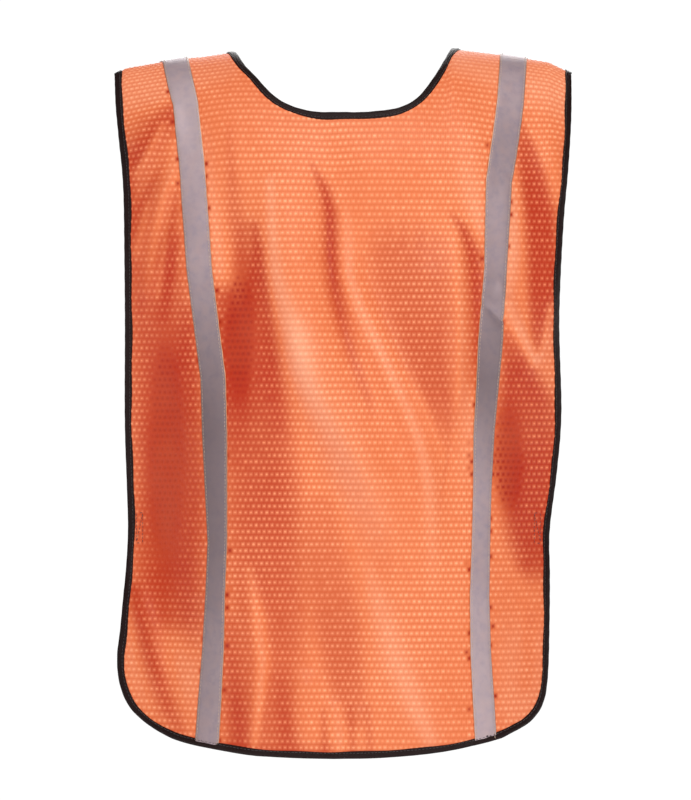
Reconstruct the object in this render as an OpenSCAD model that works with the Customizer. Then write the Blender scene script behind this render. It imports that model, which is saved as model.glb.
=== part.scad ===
// Mesh safety vest with an open front: one back panel, two front panels that swing at the sides,
// reflective tapes, edge binding, elastic side straps and a hook and loop closure.
// +X is the wearer's right, +Y is forward and +Z is up. The origin lies on the line of the
// shoulder seams' neck ends, midway between them, where the vest rests on its wearer.

/* [Vest] */
// Height from the neck ends of the shoulder seams to the lowest point of the hem
vest_length = 646; // [560:1:760]
// Half of the width between the outer ends of the shoulder seams
shoulder_half = 211; // [190:1:230]
// Half of the width below the shoulders
waist_half = 199; // [180:1:215]
// How far each shoulder seam drops from its neck end to its outer end
shoulder_drop = 20; // [8:1:35]
// Radius of the rounded hem corners
corner_radius = 60; // [30:1:90]
// How far the hem rises from the middle to the sides
hem_rise = 22; // [0:1:40]

/* [Neck] */
// Half of the neck opening's width at the shoulder seams
neck_half = 101; // [80:1:115]
// Depth of the back neck scoop
scoop_depth = 57; // [40:1:90]
// Height from the shoulder seams to the point of the front V neck
v_depth = 270; // [220:1:330]

/* [Body shape] */
// How far the middle of the back panel stands behind the shoulder line
back_depth = 110; // [90:1:130]
// How far the side edges of both panels stand from the shoulder line, front and back
side_depth = 35; // [20:1:50]
// How far the closed front bulges forward of its side edges
front_bulge = 60; // [40:1:80]
// Height below the shoulder line at which the cloth has turned to hang straight
shoulder_turn = 130; // [100:5:160]

/* [Cloth and trim] */
// Thickness of a mesh panel
cloth_t = 1.6; // [0.8:0.1:3]
// Width of the reflective tape
tape_w = 25.4; // [20:0.1:50]
// Thickness of the reflective tape
tape_t = 1; // [0.4:0.1:1.5]
// Width of the edge binding on each face
binding_w = 5; // [4:0.5:8]
// Thickness of the binding, folded round the cloth
binding_t = 3.4; // [2.8:0.1:5]
// Width of the elastic side straps
strap_w = 32; // [20:1:40]
// Thickness of the elastic side straps
strap_t = 1.2; // [0.8:0.1:2]
// Height of the straps' middle below the shoulder line
strap_drop = 438; // [380:1:480]

/* [Closure] */
// How far each front reaches past the middle when closed
overlap = 19; // [15:1:30]
// Width of a closure strip, across the vest
closure_w = 22; // [16:1:25]
// Length of a closure strip, down the vest
closure_l = 75; // [40:1:100]
// Thickness of a closure strip
closure_t = 1.2; // [0.8:0.1:2]
// Angle by which each front stands open at rest
ajar = 16; // [12:1:25]

/* [Hidden] */

cloth_colour = [0.95, 0.42, 0.22];
tape_colour = [0.62, 0.58, 0.62];
binding_colour = [0.08, 0.06, 0.07];
thread_colour = [0.80, 0.62, 0.35];
label_colour = [0.94, 0.94, 0.92];

drop_unit = 100;        // height of one unit of the drape coordinate below the shoulder turn
skin_gap = 0.4;         // clearance between two layers of cloth
edge_gap = 0.5;         // clearance between a panel's edge and its binding
scoop_gap = 2.2;        // the same again along the curve of the neck scoop
seam_gap = 2.4;         // clearance between a panel and the tape under its shoulder seam
split_s = 1.1;          // drape coordinate at which a front panel leaves its yoke
split_gap = 0.008;      // half of the gap there, in the drape coordinate
seam_s = 0.012;         // drape coordinate of a panel's edge at the shoulder seam
seam_reach = 0.08;      // half width of the shoulder seam tape, in the drape coordinate
tape_inset = 27;        // how far the tapes lean in from the shoulder to the waist
tape_foot = 124;        // distance of a tape from the middle at the waist
thread_t = 0.5;         // thickness of a stitching thread
thread_gap = 0.3;       // clearance between a thread and what it holds
thread_inset = 2;       // distance of a stitching thread from its tape's edge
front_corner = 42;      // radius of the front panels' inner hem corners
closure_tops = [285, 470]; // heights of the closure strips' upper ends, below the shoulder line
hinge = [203, 20];      // where a front swings, on its side strap
hinge_gap = 1.8;        // distance of each strap end from that axis
sewn_l = 16;            // length of a strap's end that lies on a panel
label_w = 30;
label_l = 42;
label_t = 0.6;
left_rise = 6;          // how much further forward the left front closes, to lie over the right
cloth_edge = binding_w + edge_gap;
seam_l = shoulder_half - neck_half - 3 * binding_w; // length of the tape under a shoulder seam

// --- The worn shape -------------------------------------------------------------------------
// A point of the cloth is given by x and by the drape coordinate s: 0 on the shoulder seam, 1
// where the cloth has turned down over the shoulder, and one more for each drop_unit below that.

function unit(v) = v / norm(v);
function mix(a, b, t) = a + (b - a) * t;
function arc_radius(half, bulge) = (half * half + bulge * bulge) / (2 * bulge);
function turned(p, a) = [p.x * cos(a) + p.y * sin(a), p.y * cos(a) - p.x * sin(a)];

function seam_z(x) = -shoulder_drop * max(0, abs(x) - neck_half) / (shoulder_half - neck_half);
function drape_z(x, s) = s < 1
    ? (seam_z(x) + shoulder_turn) * cos(90 * s) - shoulder_turn
    : -shoulder_turn - (s - 1) * drop_unit;
function drape_turn(s) = s < 1 ? sin(90 * s) : 1;
function drape_at(x, z) = z > -shoulder_turn
    ? acos(min(1, (z + shoulder_turn) / (seam_z(x) + shoulder_turn))) / 90
    : 1 - (z + shoulder_turn) / drop_unit;

back_radius = arc_radius(waist_half, back_depth - side_depth);
function back_y(x) = back_radius - back_depth - sqrt(back_radius * back_radius - x * x);
function back_point(x, s) = [x, back_y(x) * drape_turn(s), drape_z(x, s)];

// A closed front is an arc about the middle; at rest it is turned about the hinge by the ajar angle.
function front_radius(rise) = arc_radius(hinge.x, front_bulge + rise);
function front_centre(rise) = hinge
    + turned([-hinge.x, side_depth + front_bulge + rise - front_radius(rise) - hinge.y], ajar);
function front_y(x, rise) = front_centre(rise).y
    + sqrt(pow(front_radius(rise), 2) - pow(x - front_centre(rise).x, 2));
function front_point(x, s, rise) = [x, front_y(x, rise) * drape_turn(s), drape_z(x, s)];
function front_edge_x(rise) = (hinge
    + turned([-overlap - hinge.x, side_depth + front_bulge + rise - hinge.y], ajar)).x;

// A point h above the inner face of the cloth, along its outward normal.
function back_at(q, h) = let (
        across = back_point(q.x + 0.5, q.y) - back_point(q.x - 0.5, q.y),
        down = back_point(q.x, q.y + 0.01) - back_point(q.x, q.y - 0.01)
    ) back_point(q.x, q.y) + h * unit(cross(down, across));
function front_at(q, h, rise = 0) = let (
        across = front_point(q.x + 0.5, q.y, rise) - front_point(q.x - 0.5, q.y, rise),
        down = front_point(q.x, q.y + 0.01, rise) - front_point(q.x, q.y - 0.01, rise)
    ) front_point(q.x, q.y, rise) + h * unit(cross(across, down));

// --- Outlines -------------------------------------------------------------------------------

function side_half(s) = waist_half + (shoulder_half - waist_half) * pow(max(0, 1 - s / 1.2), 1.3);
function scoop_half(inset) = neck_half + 1.3 * inset;
function scoop_z(x, inset) = -(scoop_depth + inset) * (1 - pow(min(1, abs(x) / scoop_half(inset)), 3));
function hem_z(x, inset, corner) = let (
        r = corner - inset,
        past = max(0, abs(x) - (waist_half - inset - r)) / r
    ) -vest_length + inset + hem_rise * pow(x / waist_half, 2) + r * (1 - sqrt(max(0, 1 - past * past)));
function v_x(s, rise) = let (z = drape_z(0, s))
    front_edge_x(rise) + (neck_half - front_edge_x(rise)) * pow(max(0, 1 + z / v_depth), 0.85);
function tape_x(s) = tape_foot + tape_inset * pow(max(0, 1 - s / 2.7), 1.5);

// Column a of the back panel, from its left side to its right, closer together at the sides.
function back_column(a) = 0.45 * (2 * a - 1) + 0.55 * sin(90 * (2 * a - 1));
// Row b, from the top edge to the hem, closer together over the shoulders.
function draped(b, top, bottom) = b < 0.4 ? mix(top, 1.2, b / 0.4) : mix(1.2, bottom, (b - 0.4) / 0.6);
function back_map(a, b) = let (
        u = back_column(a),
        x_top = u * (shoulder_half - cloth_edge),
        x_low = u * (waist_half - cloth_edge),
        top = max(seam_s, drape_at(x_top, scoop_z(x_top, cloth_edge + scoop_gap))),
        s = draped(b, top, drape_at(x_low, hem_z(x_low, cloth_edge, corner_radius)))
    ) [u * (side_half(s) - cloth_edge), s];

// Column a of a front panel, from its inner edge to its side, closer together at the edges.
function front_x(a, s, rise) =
    mix(v_x(s, rise) + cloth_edge, side_half(s) - cloth_edge, 0.5 * a + 0.25 - 0.25 * cos(180 * a));
function yoke_map(a, b, rise) = let (s = mix(seam_s, split_s - split_gap, b)) [front_x(a, s, rise), s];
function front_hem_z(x, inset, rise) = let (
        r = front_corner - inset,
        past = max(0, front_edge_x(rise) + front_corner - x) / r
    ) max(hem_z(x, inset, corner_radius),
          hem_z(x, inset, corner_radius) + r * (1 - sqrt(max(0, 1 - past * past))));
function front_map(a, b, rise) = let (
        x_low = front_x(a, 6, rise),
        s = mix(split_s + split_gap, drape_at(x_low, front_hem_z(x_low, cloth_edge, rise)), b)
    ) [front_x(a, s, rise), s];

// --- Makers ---------------------------------------------------------------------------------

// A layer of cloth between heights low and high over a surface. at(q, h) is the surface, and
// map(a, b) gives q for a and b from 0 to 1. behind is true on the back surface.
module layer(at, map, columns, rows, low, high, behind = false) {
    across = columns + 1;
    sheet_points = across * (rows + 1);
    function index(i, j, top) = (top ? sheet_points : 0) + j * across + i;
    points = [for (h = [low, high]) for (j = [0:rows]) for (i = [0:columns])
        at(map(i / columns, j / rows), h)];
    cells = [for (j = [0:rows - 1]) for (i = [0:columns - 1]) each [
        [index(i, j, true), index(i + 1, j, true), index(i + 1, j + 1, true)],
        [index(i, j, true), index(i + 1, j + 1, true), index(i, j + 1, true)],
        [index(i, j, false), index(i + 1, j + 1, false), index(i + 1, j, false)],
        [index(i, j, false), index(i, j + 1, false), index(i + 1, j + 1, false)]
    ]];
    ends = [for (i = [0:columns - 1]) each [
        [index(i, 0, false), index(i + 1, 0, false), index(i + 1, 0, true)],
        [index(i, 0, false), index(i + 1, 0, true), index(i, 0, true)],
        [index(i, rows, false), index(i + 1, rows, true), index(i + 1, rows, false)],
        [index(i, rows, false), index(i, rows, true), index(i + 1, rows, true)]
    ]];
    sides = [for (j = [0:rows - 1]) each [
        [index(0, j, false), index(0, j + 1, true), index(0, j + 1, false)],
        [index(0, j, false), index(0, j, true), index(0, j + 1, true)],
        [index(columns, j, false), index(columns, j + 1, false), index(columns, j + 1, true)],
        [index(columns, j, false), index(columns, j + 1, true), index(columns, j, true)]
    ]];
    faces = concat(cells, ends, sides);
    polyhedron(points, behind ? faces : [for (f = faces) [f[0], f[2], f[1]]], convexity = 10);
}

// A flat bar along a path on a surface. path(t) gives q for t from 0 to 1, and the bar reaches
// width / 2 to each side of it and from low to high over the surface.
module bar(at, path, steps, width, low, high) {
    function middle(t) = at(path(t), (low + high) / 2);
    function aside(t) = let (
            ahead = middle(min(1, t + 0.002)) - middle(max(0, t - 0.002)),
            up = at(path(t), 1) - at(path(t), 0)
        ) unit(cross(ahead, up)) * width / 2;
    function ring(t) = let (low_point = at(path(t), low), high_point = at(path(t), high), out = aside(t))
        [low_point - out, low_point + out, high_point + out, high_point - out];
    points = [for (k = [0:steps]) each ring(k / steps)];
    walls = [for (k = [0:steps - 1]) for (i = [0:3]) let (a = 4 * k + i, b = 4 * k + (i + 1) % 4) each [
        [a, a + 4, b + 4],
        [a, b + 4, b]
    ]];
    last = 4 * steps;
    caps = [[0, 1, 2], [0, 2, 3], [last, last + 2, last + 1], [last, last + 3, last + 2]];
    polyhedron(points, concat(walls, caps), convexity = 10);
}

// A flat band of the strap's thickness that follows points in plan, as wide as the strap.
module band(route) {
    last = len(route) - 1;
    aways = [for (k = [0:last]) let (
            along = unit(route[min(last, k + 1)] - route[max(0, k - 1)])
        ) [along.y, -along.x] * strap_t / 2];
    outline = concat([for (k = [0:last]) route[k] + aways[k]],
                     [for (k = [last:-1:0]) route[k] - aways[k]]);
    translate([0, 0, -strap_drop - strap_w / 2]) linear_extrude(strap_w) polygon(outline);
}

module left() {
    mirror([1, 0, 0]) children();
}

// --- Panels ---------------------------------------------------------------------------------

module back_panel() {
    color(cloth_colour) layer(function (q, h) back_at(q, h), function (a, b) back_map(a, b),
        30, 30, 0, cloth_t, behind = true);
}

module front_yoke(rise) {
    color(cloth_colour) layer(function (q, h) front_at(q, h, rise),
        function (a, b) yoke_map(a, b, rise), 6, 12, 0, cloth_t);
}

module front_panel(rise) {
    color(cloth_colour) layer(function (q, h) front_at(q, h, rise),
        function (a, b) front_map(a, b, rise), 12, 16, 0, cloth_t);
}

module shoulder_seam() {
    color(binding_colour) layer(function (q, h) back_at(q, h),
        function (a, b) [(neck_half + shoulder_half) / 2 + (a - 0.5) * seam_l,
                         mix(-seam_reach, seam_reach, b)],
        6, 4, -seam_gap - tape_t, -seam_gap, behind = true);
}

// --- Reflective tape ------------------------------------------------------------------------

tape_low = cloth_t + skin_gap;
tape_high = tape_low + tape_t;
tape_foot_s = drape_at(0, hem_z(tape_foot + tape_w / 2, cloth_edge, corner_radius)) - 0.01;

// The drape coordinate of a tape's row b, from 0 at its top to 1 at its foot.
function back_tape_row(b) = draped(b, seam_s, tape_foot_s);
function yoke_tape_row(b) = mix(seam_s, split_s - split_gap, b);
function front_tape_row(b) = mix(split_s + split_gap, tape_foot_s, b);
function tape_point(a, s) = [tape_x(s) + tape_w * (a - 0.5), s];

module tape_back() {
    color(tape_colour) layer(function (q, h) back_at(q, h),
        function (a, b) tape_point(a, back_tape_row(b)), 2, 30, tape_low, tape_high, behind = true);
}

module tape_yoke(rise) {
    color(tape_colour) layer(function (q, h) front_at(q, h, rise),
        function (a, b) tape_point(a, yoke_tape_row(b)), 2, 12, tape_low, tape_high);
}

module tape_front(rise) {
    color(tape_colour) layer(function (q, h) front_at(q, h, rise),
        function (a, b) tape_point(a, front_tape_row(b)), 2, 16, tape_low, tape_high);
}

// --- Edge binding ---------------------------------------------------------------------------
// Each path runs along the middle of a binding, half its width inside the vest's outline.

binding_low = (cloth_t - binding_t) / 2;
binding_high = binding_low + binding_t;
binding_middle = binding_w / 2;

function side_point(s) = [side_half(s) - binding_middle, s];
function hem_point(x) = [x, drape_at(0, hem_z(x, binding_middle, corner_radius))];
function v_point(s, rise) = [v_x(s, rise) + binding_middle, s];
// The corner between side and hem, for turn from 0 at the side to 90 at the hem.
function outer_corner(turn) = let (
        r = corner_radius - binding_middle,
        x = waist_half - corner_radius + r * cos(turn),
        hem = -vest_length + binding_middle + hem_rise * pow(x / waist_half, 2)
    ) [x, drape_at(0, hem + r * (1 - sin(turn)))];
// The corner between centre edge and hem, for turn from 0 at the centre edge to 90 at the hem.
function inner_corner(turn, rise) = let (
        r = front_corner - binding_middle,
        x = front_edge_x(rise) + front_corner - r * cos(turn)
    ) [x, drape_at(0, hem_z(x, binding_middle, corner_radius) + r * (1 - sin(turn)))];

// From the shoulder down the side, round the corner and along the hem to the middle.
function half_edge(t) = t < 0.5 ? side_point(mix(seam_s, outer_corner(0).y, t / 0.5))
    : t < 0.75 ? outer_corner(90 * (t - 0.5) / 0.25)
    : hem_point(mix(waist_half - corner_radius, 0, (t - 0.75) / 0.25));
function back_edge_path(t) = let (q = half_edge(1 - abs(2 * t - 1))) [t < 0.5 ? q.x : -q.x, q.y];
function back_neck_path(t) = let (x = mix(-1, 1, t) * scoop_half(binding_middle))
    [x, max(seam_s, drape_at(x, scoop_z(x, binding_middle)))];
// Down the V and the centre edge of a front, round its hem and up its side.
function front_edge_path(t, rise) = let (
        top = split_s + split_gap,
        x_inner = front_edge_x(rise) + front_corner,
        x_outer = waist_half - corner_radius
    )
    t < 0.4 ? v_point(mix(top, inner_corner(0, rise).y, t / 0.4), rise)
    : t < 0.5 ? inner_corner(90 * (t - 0.4) / 0.1, rise)
    : t < 0.6 ? hem_point(mix(x_inner, x_outer, (t - 0.5) / 0.1))
    : t < 0.7 ? outer_corner(90 - 90 * (t - 0.6) / 0.1)
    : side_point(mix(outer_corner(0).y, top, (t - 0.7) / 0.3));

module binding_bar(at, path, steps) {
    color(binding_colour) bar(at, path, steps, binding_w, binding_low, binding_high);
}

module binding_back_edge() {
    binding_bar(function (q, h) back_at(q, h), function (t) back_edge_path(t), 96);
}

module binding_back_neck() {
    binding_bar(function (q, h) back_at(q, h), function (t) back_neck_path(t), 28);
}

module binding_yoke(rise) {
    at = function (q, h) front_at(q, h, rise);
    foot = split_s - split_gap;
    binding_bar(at, function (t) v_point(mix(seam_s, foot, t), rise), 12);
    binding_bar(at, function (t) side_point(mix(seam_s, foot, t)), 12);
}

module binding_front(rise) {
    binding_bar(function (q, h) front_at(q, h, rise), function (t) front_edge_path(t, rise), 80);
}

// --- Side straps ----------------------------------------------------------------------------

strap_s = drape_at(0, -strap_drop);
strap_height = binding_low - skin_gap - strap_t / 2;
function in_plan(p) = [p.x, p.y];
function strap_on_back(x) = in_plan(back_at([x, strap_s], strap_height));
function strap_on_front(x, rise) = in_plan(front_at([x, strap_s], strap_height, rise));

module strap() {
    color(binding_colour) band([
        strap_on_back(waist_half - sewn_l), strap_on_back(waist_half - sewn_l / 2),
        strap_on_back(waist_half),
        [hinge.x - 0.5, -hinge.y], [hinge.x, 0], [hinge.x, hinge.y - hinge_gap]
    ]);
}

module strap_end(rise) {
    color(binding_colour) band([
        [hinge.x, hinge.y + hinge_gap], strap_on_front(waist_half, rise),
        strap_on_front(waist_half - sewn_l / 2, rise), strap_on_front(waist_half - sewn_l, rise)
    ]);
}

// --- Stitching ------------------------------------------------------------------------------

module thread(at, path, steps, height) {
    low = height + thread_gap;
    color(thread_colour) bar(at, path, steps, thread_t, low, low + thread_t);
}

// The two lines of stitching along a tape whose rows are at row(b).
module tape_threads(at, row, steps) {
    for (side = [-1, 1]) {
        a = 0.5 + side * (0.5 - thread_inset / tape_w);
        thread(at, function (t) tape_point(a, row(t)), steps, tape_high);
    }
}

// The box of stitching through a panel and the end of its strap.
module strap_box(at) {
    x_low = waist_half - sewn_l + thread_inset;
    x_high = waist_half - cloth_edge - thread_inset;
    s_high = strap_s - (strap_w / 2 - thread_inset) / drop_unit;
    s_low = strap_s + (strap_w / 2 - thread_inset) / drop_unit;
    inside = 1.5 * thread_t;
    for (x = [x_low, x_high])
        thread(at, function (t) [x, mix(s_high, s_low, t)], 2, cloth_t);
    for (s = [s_high, s_low])
        thread(at, function (t) [mix(x_low + inside, x_high - inside, t), s], 2, cloth_t);
}

module tape_stitching_back() {
    on_back = function (q, h) back_at(q, h);
    for (side = [0, 1]) mirror([side, 0, 0]) {
        tape_threads(on_back, function (b) back_tape_row(b), 30);
        tape_threads(function (q, h) front_at(q, h, side * left_rise), function (b) yoke_tape_row(b), 12);
    }
}

module strap_stitching_back() {
    strap_box(function (q, h) back_at(q, h));
    left() strap_box(function (q, h) back_at(q, h));
}

// The line of stitching along the middle of a binding.
module binding_stitching_back() {
    at = function (q, h) back_at(q, h);
    thread(at, function (t) back_edge_path(t), 96, binding_high);
    thread(at, function (t) back_neck_path(t), 28, binding_high);
}

module stitching_front(rise) {
    at = function (q, h) front_at(q, h, rise);
    thread(at, function (t) front_edge_path(t, rise), 80, binding_high);
    tape_threads(at, function (b) front_tape_row(b), 16);
    strap_box(at);
}

// --- Closure and label ----------------------------------------------------------------------

// The closure strips of one front: its hooks on the inner face, or its loops on the outer face.
module closure_strips(rise, low) {
    x_low = front_edge_x(rise) + overlap - closure_w / 2;
    for (top = closure_tops)
        color(binding_colour) layer(function (q, h) front_at(q, h, rise),
            function (a, b) [x_low + closure_w * a, drape_at(0, -top - closure_l * b)],
            2, 2, low, low + closure_t);
}

module hook_strips() {
    left() closure_strips(left_rise, -skin_gap - closure_t);
}

module loop_strips() {
    closure_strips(0, cloth_t + skin_gap);
}

label_top = scoop_depth + binding_w + 2;
label_gap = 1.8;
label_y = back_point(0, drape_at(0, -label_top)).y + label_gap;

module care_label() {
    color(label_colour) translate([-label_w / 2, label_y, -label_top - label_l])
        cube([label_w, label_t, label_l]);
}

// --- The vest -------------------------------------------------------------------------------

back_panel();
left() front_yoke(left_rise);  // front_yoke_left
front_yoke(0);  // front_yoke_right
left() shoulder_seam();  // shoulder_seam_left
shoulder_seam();  // shoulder_seam_right
left() tape_back();  // tape_back_left
tape_back();  // tape_back_right
left() tape_yoke(left_rise);  // tape_yoke_left
tape_yoke(0);  // tape_yoke_right
binding_back_edge();
binding_back_neck();
left() binding_yoke(left_rise);  // binding_yoke_left
binding_yoke(0);  // binding_yoke_right
left() strap();  // strap_left
strap();  // strap_right
tape_stitching_back();
strap_stitching_back();
binding_stitching_back();
left() front_panel(left_rise);  // front_panel_left
left() tape_front(left_rise);  // tape_front_left
left() binding_front(left_rise);  // binding_front_left
hook_strips();
left() strap_end(left_rise);  // strap_end_left
left() stitching_front(left_rise);  // stitching_front_left
front_panel(0);  // front_panel_right
tape_front(0);  // tape_front_right
binding_front(0);  // binding_front_right
loop_strips();
strap_end(0);  // strap_end_right
stitching_front(0);  // stitching_front_right
care_label();
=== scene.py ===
"""Visual model of a mesh high visibility vest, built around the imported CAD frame.

Lengths here are in millimetres, as in the part's source, and become metres when a mesh is made.
+X is the wearer's right, +Y is forward and +Z is up. A point of the cloth is given by x and by
the drape coordinate s: 0 on the shoulder seam, 1 where the cloth hangs straight, and one more for
each 100 mm below that.
"""

import math

import bpy
import numpy as np
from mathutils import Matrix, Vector


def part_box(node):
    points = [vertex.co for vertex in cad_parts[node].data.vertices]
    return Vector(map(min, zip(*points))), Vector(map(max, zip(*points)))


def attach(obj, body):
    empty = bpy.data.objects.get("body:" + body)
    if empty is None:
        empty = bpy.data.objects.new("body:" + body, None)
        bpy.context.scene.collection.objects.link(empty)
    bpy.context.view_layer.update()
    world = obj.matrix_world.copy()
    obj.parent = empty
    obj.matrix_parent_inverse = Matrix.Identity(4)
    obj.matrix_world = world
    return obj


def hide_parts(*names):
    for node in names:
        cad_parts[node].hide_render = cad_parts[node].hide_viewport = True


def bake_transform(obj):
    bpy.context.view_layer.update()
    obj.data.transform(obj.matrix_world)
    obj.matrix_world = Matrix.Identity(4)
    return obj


MM = 0.001
rng = np.random.default_rng(11)

# --- Measures of the vest, the same as the CAD's --------------------------------------------

LENGTH = 646
SHOULDER_HALF = 211
WAIST_HALF = 199
SHOULDER_DROP = 20
NECK_HALF = 101
SCOOP_DEPTH = 57
V_DEPTH = 270
HEM_RISE = 22
CORNER_RADIUS = 60
FRONT_CORNER = 42
BACK_DEPTH = 110
SIDE_DEPTH = 35
FRONT_BULGE = 60
LEFT_RISE = 6
TURN = 130
AJAR = math.radians(16)
OVERLAP = 19
HINGE = (203, 20)
STRAP_DROP = 438
STRAP_WIDTH = 32
SEWN = 16
TAPE_WIDTH = 25.4
CLOSURE_WIDTH = 22
CLOSURE_LENGTH = 75
CLOSURE_TOPS = (285, 470)
LABEL_WIDTH = 30
LABEL_LENGTH = 42

CELL_WIDTH = 4.8
CELL_HEIGHT = 5.8

DROP_UNIT = 100         # height of one unit of the drape coordinate where the cloth hangs straight
LINE_STEP = 3.0         # distance between the points of tapes and bindings
BINDING_INSET = 3.2     # from a panel's edge to the middle of its binding
BINDING_SEAM = 1.9      # from there to the binding's stitches
TAPE_LOW = 1.45         # height of a tape's lower face above the cloth
TAPE_HIGH = 1.9         # height of its upper face
TAPE_FOOT = 124         # distance of a front tape from the middle at the waist
BACK_TAPE_ENDS = {-1: -636, 1: -631}    # height of each back tape's lower end, left and right
# A pit's near-black colour is painted shade, and a stitch's pale colour is a painted highlight.
PIT_CHANCE = 0.12       # share of the cells beside a back tape that hold a dark pit
DARK_FROM = 0.45        # darkness from which a cell has a pit and no pale stitch
CLOSURE_THICKNESS = 0.7
LABEL_THICKNESS = 0.35
VIEW_HEIGHT = 0.7312    # metres from the top to the foot of the picture, at the vest


# --- The worn shape -------------------------------------------------------------------------


def bump(distance, width):
    """A smooth hump, 1 where distance is 0."""
    return np.exp(-((distance / width) ** 2))


def soft_step(value, low, high):
    """0 at or below low, 1 at or above high, and smooth between them."""
    t = np.clip((value - low) / (high - low), 0, 1)
    return t * t * (3 - 2 * t)


def ramp(value, width):
    """A slope of 1 for positive values and 0 for negative ones, rounded over the width."""
    return width * np.logaddexp(0, value / width)


def arc_lengths(line):
    """Length along a line at each of its points."""
    return np.append(0, np.cumsum(np.hypot(*np.diff(line, axis=0).T)))


def seam_z(x):
    """Height of the shoulder seam."""
    return -SHOULDER_DROP * np.maximum(0, np.abs(x) - NECK_HALF) / (SHOULDER_HALF - NECK_HALF)


def drape_z(x, s):
    """Height of the cloth at drape coordinate s."""
    turned = (seam_z(x) + TURN) * np.cos(np.pi / 2 * np.clip(s, -1, 1)) - TURN
    return np.where(s < 1, turned, -TURN - (s - 1) * DROP_UNIT)


def drape_turn(s):
    """How far the cloth has turned over the shoulder, from 0 on the seam to 1 where it hangs."""
    return np.sin(np.pi / 2 * np.clip(s, -1, 1))


def drape_at(x, z):
    """Drape coordinate of the cloth at height z."""
    z = np.asarray(z, float)
    above = np.arccos(np.clip((z + TURN) / (seam_z(x) + TURN), -1, 1)) / (np.pi / 2)
    return np.where(z > -TURN, above, 1 - (z + TURN) / DROP_UNIT)


# Length along the cloth from the shoulder seam, for evenly spaced rows of mesh. It is measured down
# one line of the cloth, 130 mm from the middle, which is taken to go 88 mm back as it turns.
TURN_STEPS = np.linspace(0, 1, 101)
TURN_PATH = np.stack([88 * drape_turn(TURN_STEPS), drape_z(130, TURN_STEPS)], -1)
TURN_LENGTHS = arc_lengths(TURN_PATH)


def run_at(s):
    """Length along the cloth at drape coordinate s."""
    return np.where(s < 1, np.interp(s, TURN_STEPS, TURN_LENGTHS), TURN_LENGTHS[-1] + (s - 1) * DROP_UNIT)


def drape_of_run(run):
    """Drape coordinate at a length along the cloth."""
    return np.where(
        run < TURN_LENGTHS[-1],
        np.interp(run, TURN_LENGTHS, TURN_STEPS),
        1 + (run - TURN_LENGTHS[-1]) / DROP_UNIT,
    )


def back_depth(x, z):
    """How far the back lies forward of the line of the shoulders, which is a negative number."""
    a = np.abs(x)
    upper = (BACK_DEPTH - SIDE_DEPTH) * (a / WAIST_HALF) ** 2.4
    left = 10 * (a / WAIST_HALF) ** 2 + 1.2 * ramp(a - 108, 10) - 0.8 * ramp(a - 162, 10)
    right = 10 * (a / WAIST_HALF) ** 2 + 0.8 * ramp(a - 110, 10) + 0.4 * ramp(a - 165, 10)
    waist = np.where(x < 0, left, right)
    share = soft_step(-z, 170, 330) * (1 - 0.45 * soft_step(-z, 520, 640))
    pull = 10 * bump(z + STRAP_DROP, np.where(z > -STRAP_DROP, 120, 50)) * soft_step(a, 120, 200) ** 1.5
    flatter = 7 * soft_step(-z, 60, 200) * (1 - soft_step(a, 90, 150))
    return -BACK_DEPTH + upper + (waist - upper) * share + pull + flatter


# --- Folds of the back ----------------------------------------------------------------------
# Each fold is a ridge along points (x, z), with its height and the widths of its two flanks.

FOLDS = [
    ([(-65, -95), (-62, -150), (-48, -210), (-37, -270), (-12, -320), (25, -392), (50, -455)], 20, 24, 32),
    ([(5, -150), (6, -210), (30, -265), (52, -320), (70, -357), (78, -402), (82, -450)], 9, 13, 14),
    ([(-17, -100), (-14, -140), (-13, -190), (-5, -230), (8, -285)], -4, 8, 8),
    ([(96, -150), (103, -195), (105, -250), (104, -310), (97, -357)], 12, 42, 9),
    ([(20, -475), (43, -520), (62, -575), (85, -622), (95, -650)], 9, 30, 26),
    ([(-86, -470), (-78, -540), (-76, -585), (-81, -640)], 7, 15, 8),
    ([(-36, -560), (-35, -600), (-38, -640)], 5, 15, 12),
    ([(-10, -590), (-8, -640)], 3, 7, 7),
    ([(14, -595), (15, -640)], 3, 7, 7),
    ([(-150, -45), (-185, -75), (-200, -95)], 6, 16, 22),
    ([(-150, -105), (-172, -140), (-190, -185)], 4, 9, 9),
    ([(-150, -150), (-168, -195), (-188, -235)], 3, 8, 8),
    ([(-196, -480), (-178, -530), (-165, -600)], 6, 12, 10),
    ([(190, -60), (198, -125), (198, -175), (190, -240), (180, -275)], 11, 20, 10),
    ([(155, -110), (150, -160), (152, -220)], 3, 10, 12),
    ([(126, -229), (137, -240), (150, -253)], -2.5, 4, 3),
    ([(-150, -90), (-165, -135), (-182, -220)], 3, 6, 6),
    ([(-165, -72), (-190, -114)], 3, 6, 6),
    ([(142, -205), (150, -230), (163, -258), (177, -284)], 5, 9, 7),
]

# Hollows by the sides, above the straps: centre (x, z), half width, half height above and below,
# and depth.
HOLLOWS = [
    (-165, -395, 34, 110, 95, 5),
    (172, -350, 44, 80, 110, 8),
    (-108, -270, 20, 50, 60, 3),
    (-100, -420, 42, 110, 150, 2),
    (-28, -540, 46, 70, 60, 2),
]
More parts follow.
